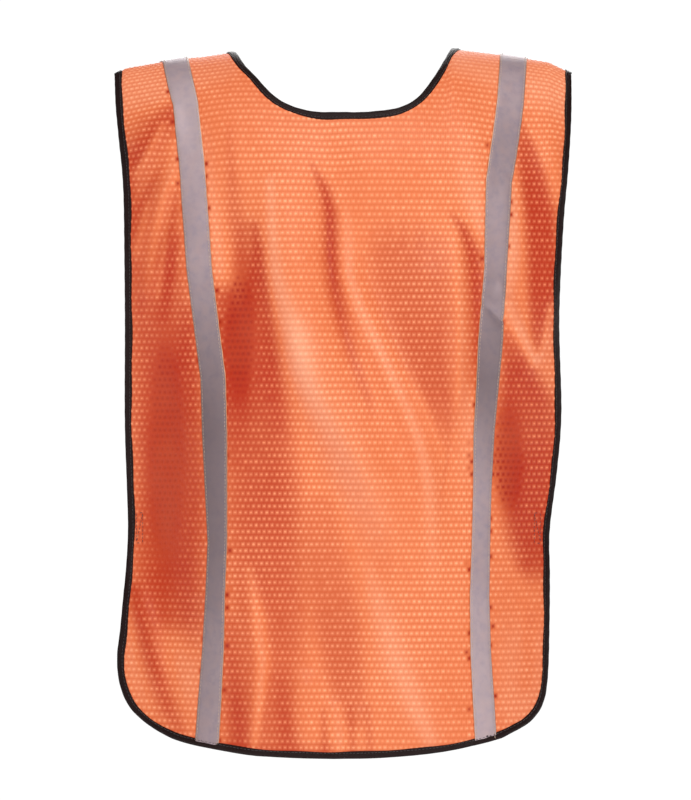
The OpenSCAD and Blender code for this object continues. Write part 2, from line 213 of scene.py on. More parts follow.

# Light and shade laid on the back's colour, in this order. It isn't worked out from the form
# of the folds, and much of it lies on nearly flat cloth. The level of a stroke is 1 for deep red, 0 for
# plain and -1 for pale. Each has its level, the sharpness of its edges and points (x, z, half width,
# strength).
PAINTED_LIGHT_AND_SHADE = [
    # left of the left tape
    (1, 4, [(-178, -100, 22, 0), (-176, -140, 26, 0.4), (-170, -230, 32, 0.6), (-164, -300, 34, 0.85),
            (-158, -400, 36, 1), (-158, -480, 36, 0.9), (-156, -520, 32, 0.8), (-158, -560, 20, 0.15)]),
    (1, 2, [(-142, -240, 8, 0.5), (-144, -300, 13, 1), (-146, -360, 16, 1), (-152, -420, 16, 1),
            (-154, -460, 14, 0.6)]),
    (1, 2, [(-150, -52, 9, 0.65), (-170, -74, 14, 0.85), (-194, -102, 15, 0.9)]),
    (1, 2, [(-196, -120, 8, 0.6), (-195, -165, 10, 0.7), (-192, -200, 8, 0.3)]),
    (1, 2, [(-156, -130, 6, 0.5), (-163, -195, 7, 0.7), (-168, -240, 8, 0.2)]),
    (1, 2, [(-160, -95, 4, 0.2), (-185, -140, 5, 0.6), (-195, -165, 5, 0.5)]),
    (1, 2, [(-152, -170, 4, 0.5), (-158, -205, 5, 0.8), (-164, -245, 6, 0.5)]),
    (1, 2, [(-170, -165, 3, 0.3), (-180, -205, 4, 0.6), (-186, -240, 4, 0.3)]),
    (-0.2, 2, [(-151, -88, 6, 0.8), (-165, -135, 5, 0.8), (-176, -190, 5, 0.6), (-182, -220, 5, 0.3)]),
    (-0.1, 2, [(-165, -72, 4, 0.6), (-188, -112, 4, 0.7)]),
    (0, 2, [(-155, -120, 3, 0.7), (-162, -165, 3, 0.6), (-170, -225, 3, 0.4)]),
    (0, 2, [(-178, -140, 3, 0.6), (-190, -185, 4, 0.5)]),
    (0, 2, [(-196, -250, 6, 0.1), (-196, -350, 6, 0.15), (-194, -470, 6, 0.1)]),
    (-0.4, 2, [(-152, -545, 14, 0.5), (-140, -575, 14, 0.7), (-137, -600, 10, 0.3)]),
    (-0.3, 2, [(-197, -525, 7, 0.5), (-195, -560, 8, 0.8), (-183, -600, 7, 0.4)]),
    (1, 2, [(-192, -495, 8, 0.7), (-178, -550, 9, 0.85), (-160, -603, 9, 0.8), (-150, -622, 8, 0.4)]),
    # between the left tape and the main fold
    (1, 2, [(-104, -75, 5, 0.15), (-101, -115, 6, 0.35), (-98, -155, 8, 0.4), (-92, -190, 9, 0.4)]),
    (1, 4, [(-87, -165, 10, 0.35), (-88, -200, 14, 0.5), (-84, -260, 22, 0.8), (-78, -340, 32, 0.85),
            (-73, -420, 36, 0.75), (-68, -500, 36, 0.6), (-64, -560, 28, 0.5), (-60, -620, 24, 0.5)]),
    (1, 4, [(-111, -214, 9, 0.2), (-108, -225, 10, 0.7), (-103, -265, 13, 0.85), (-101, -310, 13, 0.8),
            (-100, -370, 13, 0.3)]),
    (1, 2, [(-80, -160, 4, 0.5), (-77, -185, 7, 0.95), (-82, -225, 10, 1), (-95, -265, 12, 1),
            (-100, -300, 12, 0.9), (-98, -345, 11, 0.4)]),
    (-0.5, 2, [(-128, -75, 7, 0.3), (-122, -120, 7, 0.5), (-116, -175, 7, 0.6), (-112, -206, 6, 0.4)]),
    (1, 2, [(-74, -200, 6, 0.7), (-70, -240, 8, 0.85), (-66, -290, 10, 0.85), (-60, -340, 10, 0.6)]),
    (1, 2, [(-104, -525, 10, 0.4), (-101, -560, 13, 0.75), (-97, -600, 14, 0.9), (-94, -636, 14, 0.9)]),
    (1, 4, [(-100, -640, 8, 0.8), (-60, -645, 10, 0.6), (-30, -640, 8, 0.4), (0, -640, 6, 0.2)]),
    (-0.3, 2, [(-86, -475, 5, 0.3), (-77, -520, 7, 0.8), (-73, -560, 7, 0.9), (-77, -600, 5, 0.8),
               (-81, -635, 4, 0.6)]),
    (1, 2, [(-56, -575, 8, 0.3), (-54, -610, 9, 0.55), (-50, -640, 10, 0.6)]),
    (0, 2, [(-38, -570, 7, 0.5), (-36, -610, 7, 0.6), (-30, -635, 6, 0.5)]),
    # the middle
    (1, 2, [(-28, -106, 3, 0.3), (-17, -128, 6, 0.8), (-12, -150, 7, 1), (-11, -185, 8, 1),
            (-8, -215, 8, 0.85), (-2, -245, 8, 0.75), (9, -282, 7, 0.5), (22, -318, 5, 0.3),
            (28, -340, 5, 0)]),
    (-1, 2, [(-66, -120, 5, 0.35), (-64, -165, 5, 0.5), (-61, -205, 7, 0.55), (-52, -235, 10, 0.6),
             (-42, -262, 12, 1), (-36, -290, 12, 1), (-28, -315, 11, 0.7), (-12, -345, 12, 0.5),
             (8, -390, 16, 0.4), (28, -430, 18, 0.25), (40, -470, 18, 0)]),
    (1, 4, [(40, -150, 20, 0.05), (52, -178, 32, 0.45), (60, -225, 32, 0.5), (72, -272, 22, 0.6),
            (86, -318, 12, 0.6), (95, -360, 5, 0.2)]),
    (1, 4, [(88, -175, 9, 0.15), (90, -210, 11, 0.25), (93, -260, 11, 0.3), (97, -310, 8, 0.3),
            (100, -345, 5, 0.2)]),
    (0, 2, [(48, -150, 4, 0.6), (49, -170, 3, 0.3)]),
    (0, 2, [(62, -150, 5, 0.6), (62, -180, 4, 0.3)]),
    (0, 2, [(77, -150, 4, 0.5), (78, -178, 3, 0.2)]),
    (-0.4, 2, [(114, -312, 6, 0.3), (116, -345, 9, 0.7), (114, -385, 10, 0.3)]),
    (-0.6, 2, [(3, -145, 4, 0.2), (4, -170, 5, 0.35), (5, -205, 6, 0.5), (14, -235, 6, 0.6),
               (27, -262, 6, 0.6), (42, -292, 5, 0.6), (60, -330, 5, 0.55), (72, -368, 5, 0.6),
               (78, -400, 6, 0.55), (81, -450, 6, 0.3), (82, -490, 6, 0.1)]),
    (-0.3, 2, [(103, -165, 2.5, 0.5), (107, -200, 3, 0.7), (108, -250, 3, 0.7), (107, -300, 3, 0.5),
               (104, -325, 3, 0.2)]),
    (1, 2, [(99, -150, 3, 0.3), (109, -162, 5, 0.8), (118, -185, 8, 1), (122, -215, 9, 1),
            (123, -250, 8, 0.9), (121, -285, 6, 0.6), (119, -310, 5, 0.2)]),
    (-0.5, 2, [(110, -85, 12, 0.2), (114, -115, 13, 0.6), (121, -145, 9, 0.8), (126, -165, 5, 0.6)]),
    (1, 4, [(-20, -420, 14, 0.2), (-14, -470, 20, 0.35), (-6, -520, 22, 0.45), (2, -570, 18, 0.5),
            (10, -610, 12, 0.3)]),
    (-1, 2, [(22, -470, 6, 0.15), (33, -505, 10, 0.35), (48, -555, 13, 0.45), (66, -600, 11, 0.5),
             (80, -632, 7, 0.4)]),
    (1, 2, [(-18, -605, 3, 0.3), (-16, -640, 4, 0.5)]),
    (1, 2, [(7, -600, 3, 0.3), (9, -640, 4, 0.45)]),
    (1, 2, [(22, -600, 4, 0.3), (25, -640, 4, 0.35)]),
    (-0.5, 2, [(-4, -600, 4, 0.3), (-3, -640, 4, 0.5)]),
    # right of the right tape
    (1, 4, [(160, -62, 4, 0.3), (166, -85, 9, 0.75), (173, -115, 13, 0.9), (180, -150, 16, 0.95),
            (183, -200, 16, 1), (181, -240, 12, 0.95), (178, -272, 6, 0.6)]),
    (1, 4, [(150, -262, 8, 0.5), (158, -285, 14, 0.9), (166, -320, 27, 1), (168, -370, 30, 0.95),
            (170, -410, 27, 0.95), (173, -445, 23, 0.9), (176, -470, 18, 0.8), (180, -492, 12, 0)]),
    (-0.6, 2, [(142, -205, 5, 0.5), (150, -230, 6, 0.75), (163, -258, 6, 0.8), (175, -282, 5, 0.7)]),
    (-0.6, 2, [(190, -235, 3, 0.4), (184, -270, 3, 0.5), (177, -285, 4, 0.5)]),
    (-1, 2, [(148, -95, 6, 0.2), (153, -140, 8, 0.5), (154, -185, 9, 0.65), (150, -222, 7, 0.4)]),
    (-0.4, 4, [(160, -510, 22, 0), (164, -540, 24, 0.5), (162, -600, 24, 0.5)]),
    (1, 2, [(172, -520, 7, 0.2), (168, -580, 8, 0.2)]),
    (1, 2, [(190, -330, 8, 0.4), (192, -380, 8, 0.8), (188, -450, 8, 0.9), (186, -478, 7, 0.4)]),
    # the tops of the shoulders
    (-0.5, 4, [(-205, -32, 26, 0.7), (-175, -30, 24, 0.7), (-150, -22, 20, 0.5), (-110, -12, 16, 0.5)]),
    (-0.6, 4, [(110, -8, 18, 0.8), (150, -18, 22, 0.7), (205, -36, 28, 0.7)]),
]  # fmt: skip

# Where the cells hold recessed pits painted dark as shade, in place of stitches painted pale as a
# highlight: centre (x, z), half width and half height.
DARK_PITS = [
    (-162, -365, 14, 85),
    (-94, -258, 11, 50),
    (150, -375, 12, 40),
]

WAVES = [
    # length across, length down, height and phase
    (160, 380, 1.6, 0.4),
    (95, 260, 1.0, 2.1),
    (61, 150, 0.6, 4.0),
    (-74, 210, 0.6, 1.3),
    (38, 120, 0.3, 5.2),
]


def along_fold(x, z, points):
    """Signed distance across a fold, and how far along it each point lies, from 0 to 1."""
    points = np.array(points, float)
    lengths = arc_lengths(points)
    best = np.full(np.shape(x), 1e9)
    side = np.zeros(np.shape(x))
    along = np.zeros(np.shape(x))
    for start, end, begun in zip(points[:-1], points[1:], lengths[:-1]):
        step = end - start
        length = np.hypot(*step)
        t = ((x - start[0]) * step[0] + (z - start[1]) * step[1]) / length**2
        held = np.clip(t, 0, 1)
        dx = x - start[0] - held * step[0]
        dz = z - start[1] - held * step[1]
        distance = np.hypot(dx, dz)
        nearer = distance < best
        best = np.where(nearer, distance, best)
        across = (dz * step[0] - dx * step[1]) / length
        side = np.where(nearer, np.sign(across) * distance, side)
        along = np.where(nearer, (begun + held * length) / lengths[-1], along)
    return side, along


def fold_height(x, z):
    """Height of the back's folds."""
    height = np.zeros(np.shape(x))
    for points, top, left, right in FOLDS:
        side, along = along_fold(x, z, points)
        ends = soft_step(along, 0, 0.3) * (1 - 0.7 * soft_step(along, 0.75, 1))
        height += top * ends * bump(side, np.where(side < 0, left, right))
    for centre_x, centre_z, across, above, below, depth in HOLLOWS:
        down = np.where(z > centre_z, above, below)
        height -= depth * bump(x - centre_x, across) * bump(z - centre_z, down)
    for across, down, top, phase in WAVES:
        height += top * np.sin(2 * np.pi * (x / across + z / down) + phase)
    return height


def back_shade(x, z):
    """Painted shade and painted highlight on the back's colour, from -1 for the palest highlight to 1 for the
    deepest shade.
    """
    shade = np.zeros(np.shape(x))
    for level, sharpness, points in PAINTED_LIGHT_AND_SHADE:
        points = np.array(points, float)
        side, along = along_fold(x, z, points[:, :2])
        lengths = arc_lengths(points[:, :2])
        shares = lengths / lengths[-1]
        width = np.interp(along, shares, points[:, 2])
        strength = np.interp(along, shares, points[:, 3])
        mask = strength * np.exp(-((np.abs(side) / width) ** sharpness))
        shade += (level - shade) * mask
    return shade


def pit_share(x, z):
    """How strongly the cells near each point take recessed pits with painted dark shade, from 0 to 1."""
    share = np.zeros(np.shape(x))
    for centre_x, centre_z, across, down in DARK_PITS:
        share += 1.6 * bump(x - centre_x, across) * bump(z - centre_z, down)
    return np.minimum(share, 1)


def back_tape_x(z, side):
    """Where the middle of a back tape lies at height z; side is -1 for the left and 1 for the right."""
    if side < 0:
        return np.interp(
            -z,
            [0, 50, 100, 200, 300, 450, 550, 650],
            [-157, -144, -138, -131, -118, -114, -118, -125],
        )
    return np.interp(
        -z,
        [0, 50, 120, 200, 350, 500, 550, 650],
        [158, 153, 142, 139, 128, 124, 125, 131],
    )


def puckers(x, z):
    """Small gathers of the cloth beside the lines of stitching."""
    height = np.zeros(np.shape(x))
    for side in (-1, 1):
        gap = np.abs(np.abs(x - back_tape_x(z, side)) - TAPE_WIDTH / 2 - 1)
        height += 0.5 * bump(gap, 5) * np.sin(z / 2.1 + 3 * np.sin(z / 31) + side)
    return height


def back_cloth(x, s):
    """Points of the back, with its folds."""
    z = drape_z(x, s)
    turn = drape_turn(s)
    base = np.stack([x, back_depth(x, z) * turn, z], -1)
    folds = (fold_height(x, z) + puckers(x, z)) * soft_step(s, 0.15, 0.9)
    lean = np.stack([0 * x, -turn, np.sqrt(1 - turn**2)], -1)
    return base + lean * folds[..., None]


def turned(across, forward, angle):
    """A direction in plan turned by an angle."""
    return (
        across * math.cos(angle) + forward * math.sin(angle),
        forward * math.cos(angle) - across * math.sin(angle),
    )


def front_circle(rise):
    """Centre and radius of the arc that a front follows in plan."""
    bulge = FRONT_BULGE + rise
    radius = (HINGE[0] ** 2 + bulge**2) / (2 * bulge)
    dx, dy = turned(-HINGE[0], SIDE_DEPTH + bulge - radius - HINGE[1], AJAR)
    return HINGE[0] + dx, HINGE[1] + dy, radius


def front_edge_x(rise):
    """Where the centre edge of a front stands at rest."""
    bulge = FRONT_BULGE + rise
    return HINGE[0] + turned(-OVERLAP - HINGE[0], SIDE_DEPTH + bulge - HINGE[1], AJAR)[0]


def front_cloth(x, s, rise, phase):
    """Points of the right front; the left one is mirrored from this with its own rise."""
    z = drape_z(x, s)
    turn = drape_turn(s)
    centre_x, centre_y, radius = front_circle(rise)
    y = centre_y + np.sqrt(radius**2 - (x - centre_x) ** 2)
    height = 3.2 * np.sin(x / 23 + z / 120 + phase) * soft_step(-z, 150, 400)
    height += 1.6 * np.sin(x / 14 - z / 75 + 2 * phase) * soft_step(-z, 60, 300)
    height += 0.7 * np.sin(x / 8 + z / 46 + 3 * phase)
    pull = bump(z + STRAP_DROP, 70) * soft_step(x, 110, 200)
    height -= 5 * pull
    edge_x = front_edge_x(rise)
    height *= soft_step(s, 0.15, 0.9) * (0.35 + 0.65 * soft_step(x, edge_x, edge_x + 35))
    lean = np.stack([0 * x, turn, np.sqrt(1 - turn**2)], -1)
    return np.stack([x, y * turn, z], -1) + lean * height[..., None]


def front_shade(x, z, phase):
    """Painted shade on a front's colour, darker in the troughs of its waves and paler on their crests, from
    -1 to 1.
    """
    wave = np.sin(x / 23 + z / 120 + phase) * soft_step(-z, 150, 400)
    return 0.25 - 0.35 * wave - 0.25 * np.sin(x / 14 - z / 75 + 2 * phase) * soft_step(-z, 60, 300)


def back_tape_width(z, side):
    """Width of a back tape, narrowed at the waist, where the edges of a real one curl out of sight."""
    if side < 0:
        return np.interp(-z, [50, 350, 450, 500, 600], [24, 23, 18, 18, 22])
    return np.interp(-z, [100, 200, 270, 400, 450, 600], [25, 21, 23, 17, 17, 20])


def back_tape_shade(z, side):
    """Painted shade on a back tape at height z, turning to a painted highlight where it is negative."""
    if side < 0:
        return np.interp(
            -z,
            [0, 50, 100, 200, 350, 450, 550],
            [0, -0.3, -0.1, 0.2, 0.8, 0.7, 0.3],
        )
    return np.interp(
        -z,
        [0, 100, 200, 300, 400, 600],
        [0, 0.2, 0.4, 0.7, 0.1, -0.2],
    )


def shoulder_rise(x, z):
    """How much higher the cloth lies on each shoulder than the straight slope of the seam."""
    rise = np.interp(
        x,
        [-210, -200, -150, -130, -100, 95, 100, 150, 190, 210],
        [0, 3.5, 3, 1, 0, 0, 3, 6, 7, 1],
    )
    return rise * soft_step(z, -95, -12)


class Cloth:
    """A panel's surface, mirrored for a left front. It is made from functions for the points at
    (x, s) and the painted shade at (x, z)."""

    def __init__(self, points, shade, back, mirrored=False):
        self.points = points
        self.shade = shade
        self.back = back
        self.flip = np.array([-1.0 if mirrored else 1.0, 1, 1])
        self.mirrored = mirrored

    def at(self, x, s, height=0.0):
        """Points and outward normals at (x, s), raised above the cloth by the height."""
        x = np.asarray(x, float)
        s = np.asarray(s, float)
        across = self.points(x + 0.6, s) - self.points(x - 0.6, s)
        down = self.points(x, s + 0.012) - self.points(x, s - 0.012)
        normal = np.cross(down, across) if self.back else np.cross(across, down)
        normal /= np.linalg.norm(normal, axis=-1, keepdims=True)
        height = np.broadcast_to(np.asarray(height, float), x.shape)
        placed = (self.points(x, s) + normal * height[..., None]) * self.flip
        placed[..., 2] += shoulder_rise(placed[..., 0], placed[..., 2])
        return placed, normal * self.flip

    def on(self, flat, height=0.0):
        """Points and outward normals at flat points (x, run)."""
        return self.at(flat[:, 0], drape_of_run(flat[:, 1]), height)


RISES = {"right": 0, "left": LEFT_RISE}
# Phase of the waves of each front.
PHASES = {"right": 0.4, "left": 2.0}
# How much narrower each front is below the waist, so that the back covers it.
SLIMMING = {"right": 13, "left": 4}
# Half width of the back at the height of the straps.
BACK_AT_STRAP = {"right": 189, "left": 198}


def front_surface(side):
    """The cloth of one front."""
    rise = RISES[side]
    phase = PHASES[side]
    return Cloth(
        lambda x, s: front_cloth(x, s, rise, phase),
        lambda x, z: front_shade(x, z, phase),
        back=False,
        mirrored=side == "left",
    )


BACK = Cloth(back_cloth, back_shade, back=True)
FRONTS = {side: front_surface(side) for side in RISES}


# --- Outlines -------------------------------------------------------------------------------
# An outline is a closed line of points (x, run), where run is the length down the cloth.


def smooth_line(points):
    """A smooth line through the points, with its own points about a line step apart."""
    points = np.array(points, float)
    padded = np.vstack([2 * points[0] - points[1], points, 2 * points[-1] - points[-2]])
    line = []
    for before, start, end, after in zip(padded[:-3], padded[1:-2], padded[2:-1], padded[3:]):
        count = max(2, int(np.hypot(*(end - start)) / LINE_STEP))
        t = np.arange(count)[:, None] / count
        line.append(
            0.5
            * (
                2 * start
                + (end - before) * t
                + (2 * before - 5 * start + 4 * end - after) * t**2
                + (3 * start - before - 3 * end + after) * t**3
            )
        )
    return np.vstack(line + [points[-1:]])


def on_cloth(points):
    """Points (x, z) as points (x, run)."""
    points = np.array(points, float)
    return np.stack([points[:, 0], run_at(drape_at(points[:, 0], points[:, 1]))], -1)


BACK_EDGE = [
    (-211, -19), (-209, -45), (-206, -75), (-202, -115), (-200.5, -160), (-200, -240), (-200.5, -340),
    (-199, -400), (-198, -440), (-200, -480), (-204.5, -530), (-207.5, -556), (-205.5, -580),
    (-197, -601), (-182, -616), (-163, -627.5), (-147, -633.5), (-118, -639.5), (-84, -644.5),
    (-40, -647), (0, -647.5), (40, -646.5), (90, -641.5), (136, -632), (156, -624), (172, -614.5),
    (183, -599), (187.5, -575), (189, -530), (189.5, -480), (189.5, -440), (196.5, -385), (200.5, -330),
    (198, -240), (201.5, -160), (206, -110), (209.5, -60), (210.5, -19),
]  # fmt: skip

SCOOP = [
    (102, 0), (90, -14), (78, -32), (66, -46), (50, -54), (28, -57), (0, -57.5), (-28, -55.5), (-50, -49.5),
    (-66, -39.5), (-80, -24.5), (-92, -11), (-101.5, 0),
]  # fmt: skip


def back_outline():
    """The back's outer edge, its neck scoop, and both as one closed line."""
    edge = smooth_line(on_cloth(BACK_EDGE))
    scoop = smooth_line(on_cloth(SCOOP))
    return edge, scoop, np.vstack([edge, scoop])


def side_half(s):
    """Half width of a front's panel at drape coordinate s."""
    return WAIST_HALF + (SHOULDER_HALF - WAIST_HALF) * np.maximum(0, 1 - s / 1.2) ** 1.3


def hem_z(x):
    """Height of a front's hem."""
    return -LENGTH + HEM_RISE * (x / WAIST_HALF) ** 2


def slimmed(outline, slimming):
    """An outline (x, run) whose side edge is moved in below the waist."""
    low = soft_step(outline[:, 1], run_at(drape_at(0, -360)), run_at(drape_at(0, -440)))
    side = soft_step(outline[:, 0], 120, 190)
    return outline - np.stack([slimming * low * side, 0 * side], -1)


def front_outline(side):
    """The edge of a right front from its neck end, down the V and round to the shoulder's end."""
    edge_x = front_edge_x(RISES[side])
    v_z = np.linspace(0, -V_DEPTH, 50)
    v_line = np.stack([edge_x + (NECK_HALF - edge_x) * np.maximum(0, 1 + v_z / V_DEPTH) ** 0.85, v_z], -1)
    centre = np.stack([np.full(40, edge_x), np.linspace(-V_DEPTH - 6, -LENGTH + FRONT_CORNER, 40)], -1)
    turn = np.linspace(0, np.pi / 2, 14)[1:]
    inner_x = edge_x + FRONT_CORNER * (1 - np.cos(turn))
    inner = np.stack([inner_x, hem_z(inner_x) + FRONT_CORNER * (1 - np.sin(turn))], -1)
    hem_x = np.linspace(edge_x + FRONT_CORNER, WAIST_HALF - CORNER_RADIUS, 30)[1:]
    hem = np.stack([hem_x, hem_z(hem_x)], -1)
    outer_x = WAIST_HALF - CORNER_RADIUS + CORNER_RADIUS * np.sin(turn)
    outer = np.stack([outer_x, hem_z(outer_x) + CORNER_RADIUS * (1 - np.cos(turn))], -1)
    s = np.linspace(float(drape_at(0, outer[-1, 1])), 0.0, 150)[1:]
    side_edge = np.stack([side_half(s), run_at(s)], -1)
    below = np.vstack([v_line, centre, inner, hem, outer])
    return slimmed(np.vstack([on_cloth(below), side_edge]), SLIMMING[side])


def spaced(line, step):
    """The line with its points the same distance apart."""
    lengths = arc_lengths(line)
    count = max(2, int(round(lengths[-1] / step)))
    wanted = np.linspace(0, lengths[-1], count + 1)
    return np.stack([np.interp(wanted, lengths, line[:, i]) for i in (0, 1)], -1)


def straight(start, end, step):
    """A straight line (x, run) with its points a step apart."""
    return spaced(np.array([start, end], float), step)


def moved_in(line, inset):
    """The line moved to its inner side. A walk along an outline goes down the vest's left edge."""
    return line + inset * sideways(line)


def sideways(line):
    """Directions across a line, towards the inner side where it is an outline."""
    ahead = np.gradient(line, axis=0)
    ahead /= np.linalg.norm(ahead, axis=1, keepdims=True)
    return np.stack([ahead[:, 1], -ahead[:, 0]], -1)


def inside(outline, x, run):
    """Which points lie inside a closed outline."""
    result = np.zeros(x.shape, bool)
    for (ax, ar), (bx, br) in zip(outline, np.roll(outline, -1, axis=0)):
        if ar == br:
            continue
        crosses = (ar > run) != (br > run)
        result ^= crosses & (x < (bx - ax) * (run - ar) / (br - ar) + ax)
    return result


def nearest(outline, points):
    """The nearest point of a closed outline to each point."""
    best = np.full(len(points), 1e18)
    found = points.copy()
    for start, end in zip(outline, np.roll(outline, -1, axis=0)):
        step = end - start
        t = np.clip(((points - start) @ step) / max(step @ step, 1e-9), 0, 1)[:, None]
        spot = start + t * step
        distance = ((points - spot) ** 2).sum(1)
        nearer = distance < best
        best = np.where(nearer, distance, best)
        found[nearer] = spot[nearer]
    return found


# --- Mesh makers ----------------------------------------------------------------------------


def new_object(name, points, faces, material, uv=None, attributes=None, smooth=True):
    """A mesh object from points in millimetres, faces, and values per point."""
    mesh = bpy.data.meshes.new(name)
    mesh.from_pydata((np.asarray(points) * MM).tolist(), [], [list(map(int, f)) for f in faces])
    if smooth:
        mesh.shade_smooth()
    if uv is not None:
        layer = mesh.uv_layers.new(name="UVMap")
        loops = np.empty(len(mesh.loops), np.int32)
        mesh.loops.foreach_get("vertex_index", loops)
        layer.data.foreach_set("uv", np.asarray(uv, np.float32)[loops].ravel())
    for key, values in (attributes or {}).items():
        attribute = mesh.attributes.new(key, "FLOAT", "POINT")
        attribute.data.foreach_set("value", np.asarray(values, np.float32))
    mesh.materials.append(material)
    mesh.update()
    obj = bpy.data.objects.new(name, mesh)
    bpy.context.scene.collection.objects.link(obj)
    return obj


def joined(parts):
    """Several (points, faces) as one."""
    points = []
    faces = []
    first = 0
    for part_points, part_faces in parts:
        points.append(part_points)
        faces.extend([tuple(i + first for i in f) for f in part_faces])
        first += len(part_points)
    return np.vstack(points), faces


def ring_faces(rings, around):
    """Faces of a closed tube through rings of points, with both its ends."""
    faces = []
    for k in range(rings - 1):
        for i in range(around):
            a = k * around + i
            b = k * around + (i + 1) % around
            faces.append((a, a + around, b + around, b))
    faces.append(tuple(range(around)))
    faces.append(tuple(reversed(range((rings - 1) * around, rings * around))))
    return faces


def swept(lines):
    """Points and faces of a closed strip, from the lines of points that run along it."""
    return np.stack(lines, 1).reshape(-1, 3), ring_faces(len(lines[0]), len(lines))


def strip_uv(across, lengths):
    """UV of a swept strip, from the distances across it and along it."""
    return np.stack([np.tile(across, len(lengths)), np.repeat(lengths, len(across))], -1) / 100


def cell_grid(outline):
    """The middles of the staggered cells inside an outline, the corners that they share, and which
    six corners each cell has."""
    rows = int(outline[:, 1].max() / CELL_HEIGHT) + 2
    low_k = int(outline[:, 0].min() / CELL_WIDTH * 2) - 4
    high_k = int(outline[:, 0].max() / CELL_WIDTH * 2) + 4
    cells = [(r, k) for r in range(rows) for k in range(low_k, high_k) if (r + k) % 2]
    row, left = np.array(cells).T
    keep = inside(outline, (left + 1) * CELL_WIDTH / 2, (row + 0.5) * CELL_HEIGHT)
    row, left = row[keep], left[keep]
    stride = high_k - low_k + 8
    corners = [(0, 0), (0, 1), (0, 2), (1, 2), (1, 1), (1, 0)]
    shift = -low_k + 2
    corner_keys = np.stack(
        [(row + down) * stride + left + across + shift for down, across in corners],
        -1,
    )
    keys, corner_index = np.unique(corner_keys, return_inverse=True)
    border = np.stack([(keys % stride - shift) * CELL_WIDTH / 2, keys // stride * CELL_HEIGHT], -1)
    middle = np.stack([(left + 1) * CELL_WIDTH / 2, (row + 0.5) * CELL_HEIGHT], -1)
    return middle, border, corner_index.reshape(-1, 6)


def cell_faces(corner_index, border_count, order):
    """Faces from the corners of each cell to its ring, and from the ring to its middle."""
    count = len(corner_index)
    first = border_count + 6 * np.arange(count)
    centre = border_count + 6 * count + np.arange(count)
    quads = []
    triangles = []
    for i in range(6):
        j = (i + 1) % 6
        quads.append(np.stack([corner_index[:, i], corner_index[:, j], first + j, first + i], -1))
        triangles.append(np.stack([first + i, first + j, centre], -1))
    return np.vstack(quads)[:, ::order].tolist() + np.vstack(triangles)[:, ::order].tolist()


def mesh_cloth(name, cloth, outline, material, height=0.8):
    """A panel of knitted mesh: staggered cells, each with a raised stitch painted pale as a highlight
    or a recessed pit painted dark as shade in it, and painted shade and highlight per point.
    """
    outline = np.asarray(outline)
    middle, border, corner_index = cell_grid(outline)
    count = len(middle)
    border[:, 0] += 0.18 * np.sin(border[:, 1] / 37) + rng.normal(0, 0.05, len(border))

    z = drape_z(middle[:, 0], drape_of_run(middle[:, 1]))
    share = pit_share(middle[:, 0], z) if cloth.back else np.zeros(count)
    if cloth.back:
        for side in (-1, 1):
            gap = np.abs(middle[:, 0] - back_tape_x(z, side)) - back_tape_width(z, side) / 2 - 1.2
            share = np.maximum(share, 1.4 * bump(gap, 2) * (rng.random(count) < PIT_CHANCE))
    dark = share > DARK_FROM
    wide = np.where(dark, 0.95, 1.2) * (1 + rng.normal(0, 0.1, count))
    tall = np.where(dark, 1.5, 1.25) * (1 + rng.normal(0, 0.07, count))
    ring_shape = [(-1, -0.45), (0, -1), (1, -0.45), (1, 0.45), (0, 1), (-1, 0.45)]
    ring = np.stack([middle + np.stack([a * wide, b * tall], -1) for a, b in ring_shape], 1)
    flat = np.vstack([border, ring.reshape(-1, 2), middle])
    outside = ~inside(outline, flat[:, 0], flat[:, 1])
    flat[outside] = nearest(outline, flat[outside])

    # How pale each stitch is painted, as a highlight, and how dark each pit is painted, as shade.
    stitch_glint = 0.85 + 0.2 * np.sin(middle[:, 0] / 29 + middle[:, 1] / 47) + rng.normal(0, 0.14, count)
    stitch_glint *= np.clip(1 - 2.2 * share, 0, 1)
    painted_pit_shade = np.clip(3.4 * (share - 0.4) + rng.normal(0, 0.25, count), 0.2, 1.5)
    stitch = np.where(dark, -painted_pit_shade, stitch_glint)
    raised = np.concatenate([
        np.full(len(border), -0.1),
        np.repeat(np.where(dark, -0.05, 0.12), 6),
        np.where(dark, -0.8, 0.45),
    ])
    rim = np.where(dark, -0.5 * painted_pit_shade, 0.35 * stitch_glint)
    painted_glint_and_pit_shade = np.concatenate([np.full(len(border), -0.04), np.repeat(rim, 6), stitch])
    s = drape_of_run(flat[:, 1])
    points, _ = cloth.at(flat[:, 0], s, height + raised)
    # The depth attribute is painted shade and painted highlight on the colour, not a depth of the form.
    depth = cloth.shade(flat[:, 0], drape_z(flat[:, 0], s))

    order = -1 if cloth.back or cloth.mirrored else 1
    faces = cell_faces(corner_index, len(border), order)
    return new_object(name, points, faces, material, flat / 100, {"painted_glint_and_pit_shade": painted_glint_and_pit_shade, "depth": depth})


def ribbon(cloth, line, width, low, high, across=6, rounding=0.25):
    """A flat strip along a line (x, run), following the cloth on both its faces."""
    side = sideways(line)
    width = np.broadcast_to(width, len(line))
    shares = np.concatenate([[-0.5], np.linspace(-0.47, 0.47, across + 1), [0.5]])
    top = [(a, high) for a in shares]
    top[0] = (-0.5, high - rounding)
    top[-1] = (0.5, high - rounding)
    profile = top + [(a, low) for a in shares[::-1]]
    rings = []
    for offset, height in profile:
        flat = line + (offset * width)[:, None] * side
        rings.append(cloth.on(flat, height)[0])
    points, faces = swept(rings)
    return points, faces, strip_uv([a * TAPE_WIDTH for a, _ in profile], arc_lengths(line))


# Section of a binding, from its outer edge: distance across and height, and the distance between
# two of its points for the UV.
BINDING_PROFILE = [
    (-3.4, 0.0), (-3.2, 0.8), (-2.4, 1.25), (-1.0, 1.35), (0.8, 1.3), (1.7, 1.0), (2.2, 1.05), (3.0, 1.05),
    (3.5, 0.6), (3.6, -0.3), (3.0, -1.0), (1.2, -1.3), (-1.2, -1.3), (-2.6, -1.1), (-3.3, -0.6),
]  # fmt: skip
PROFILE_STEP = 1.2


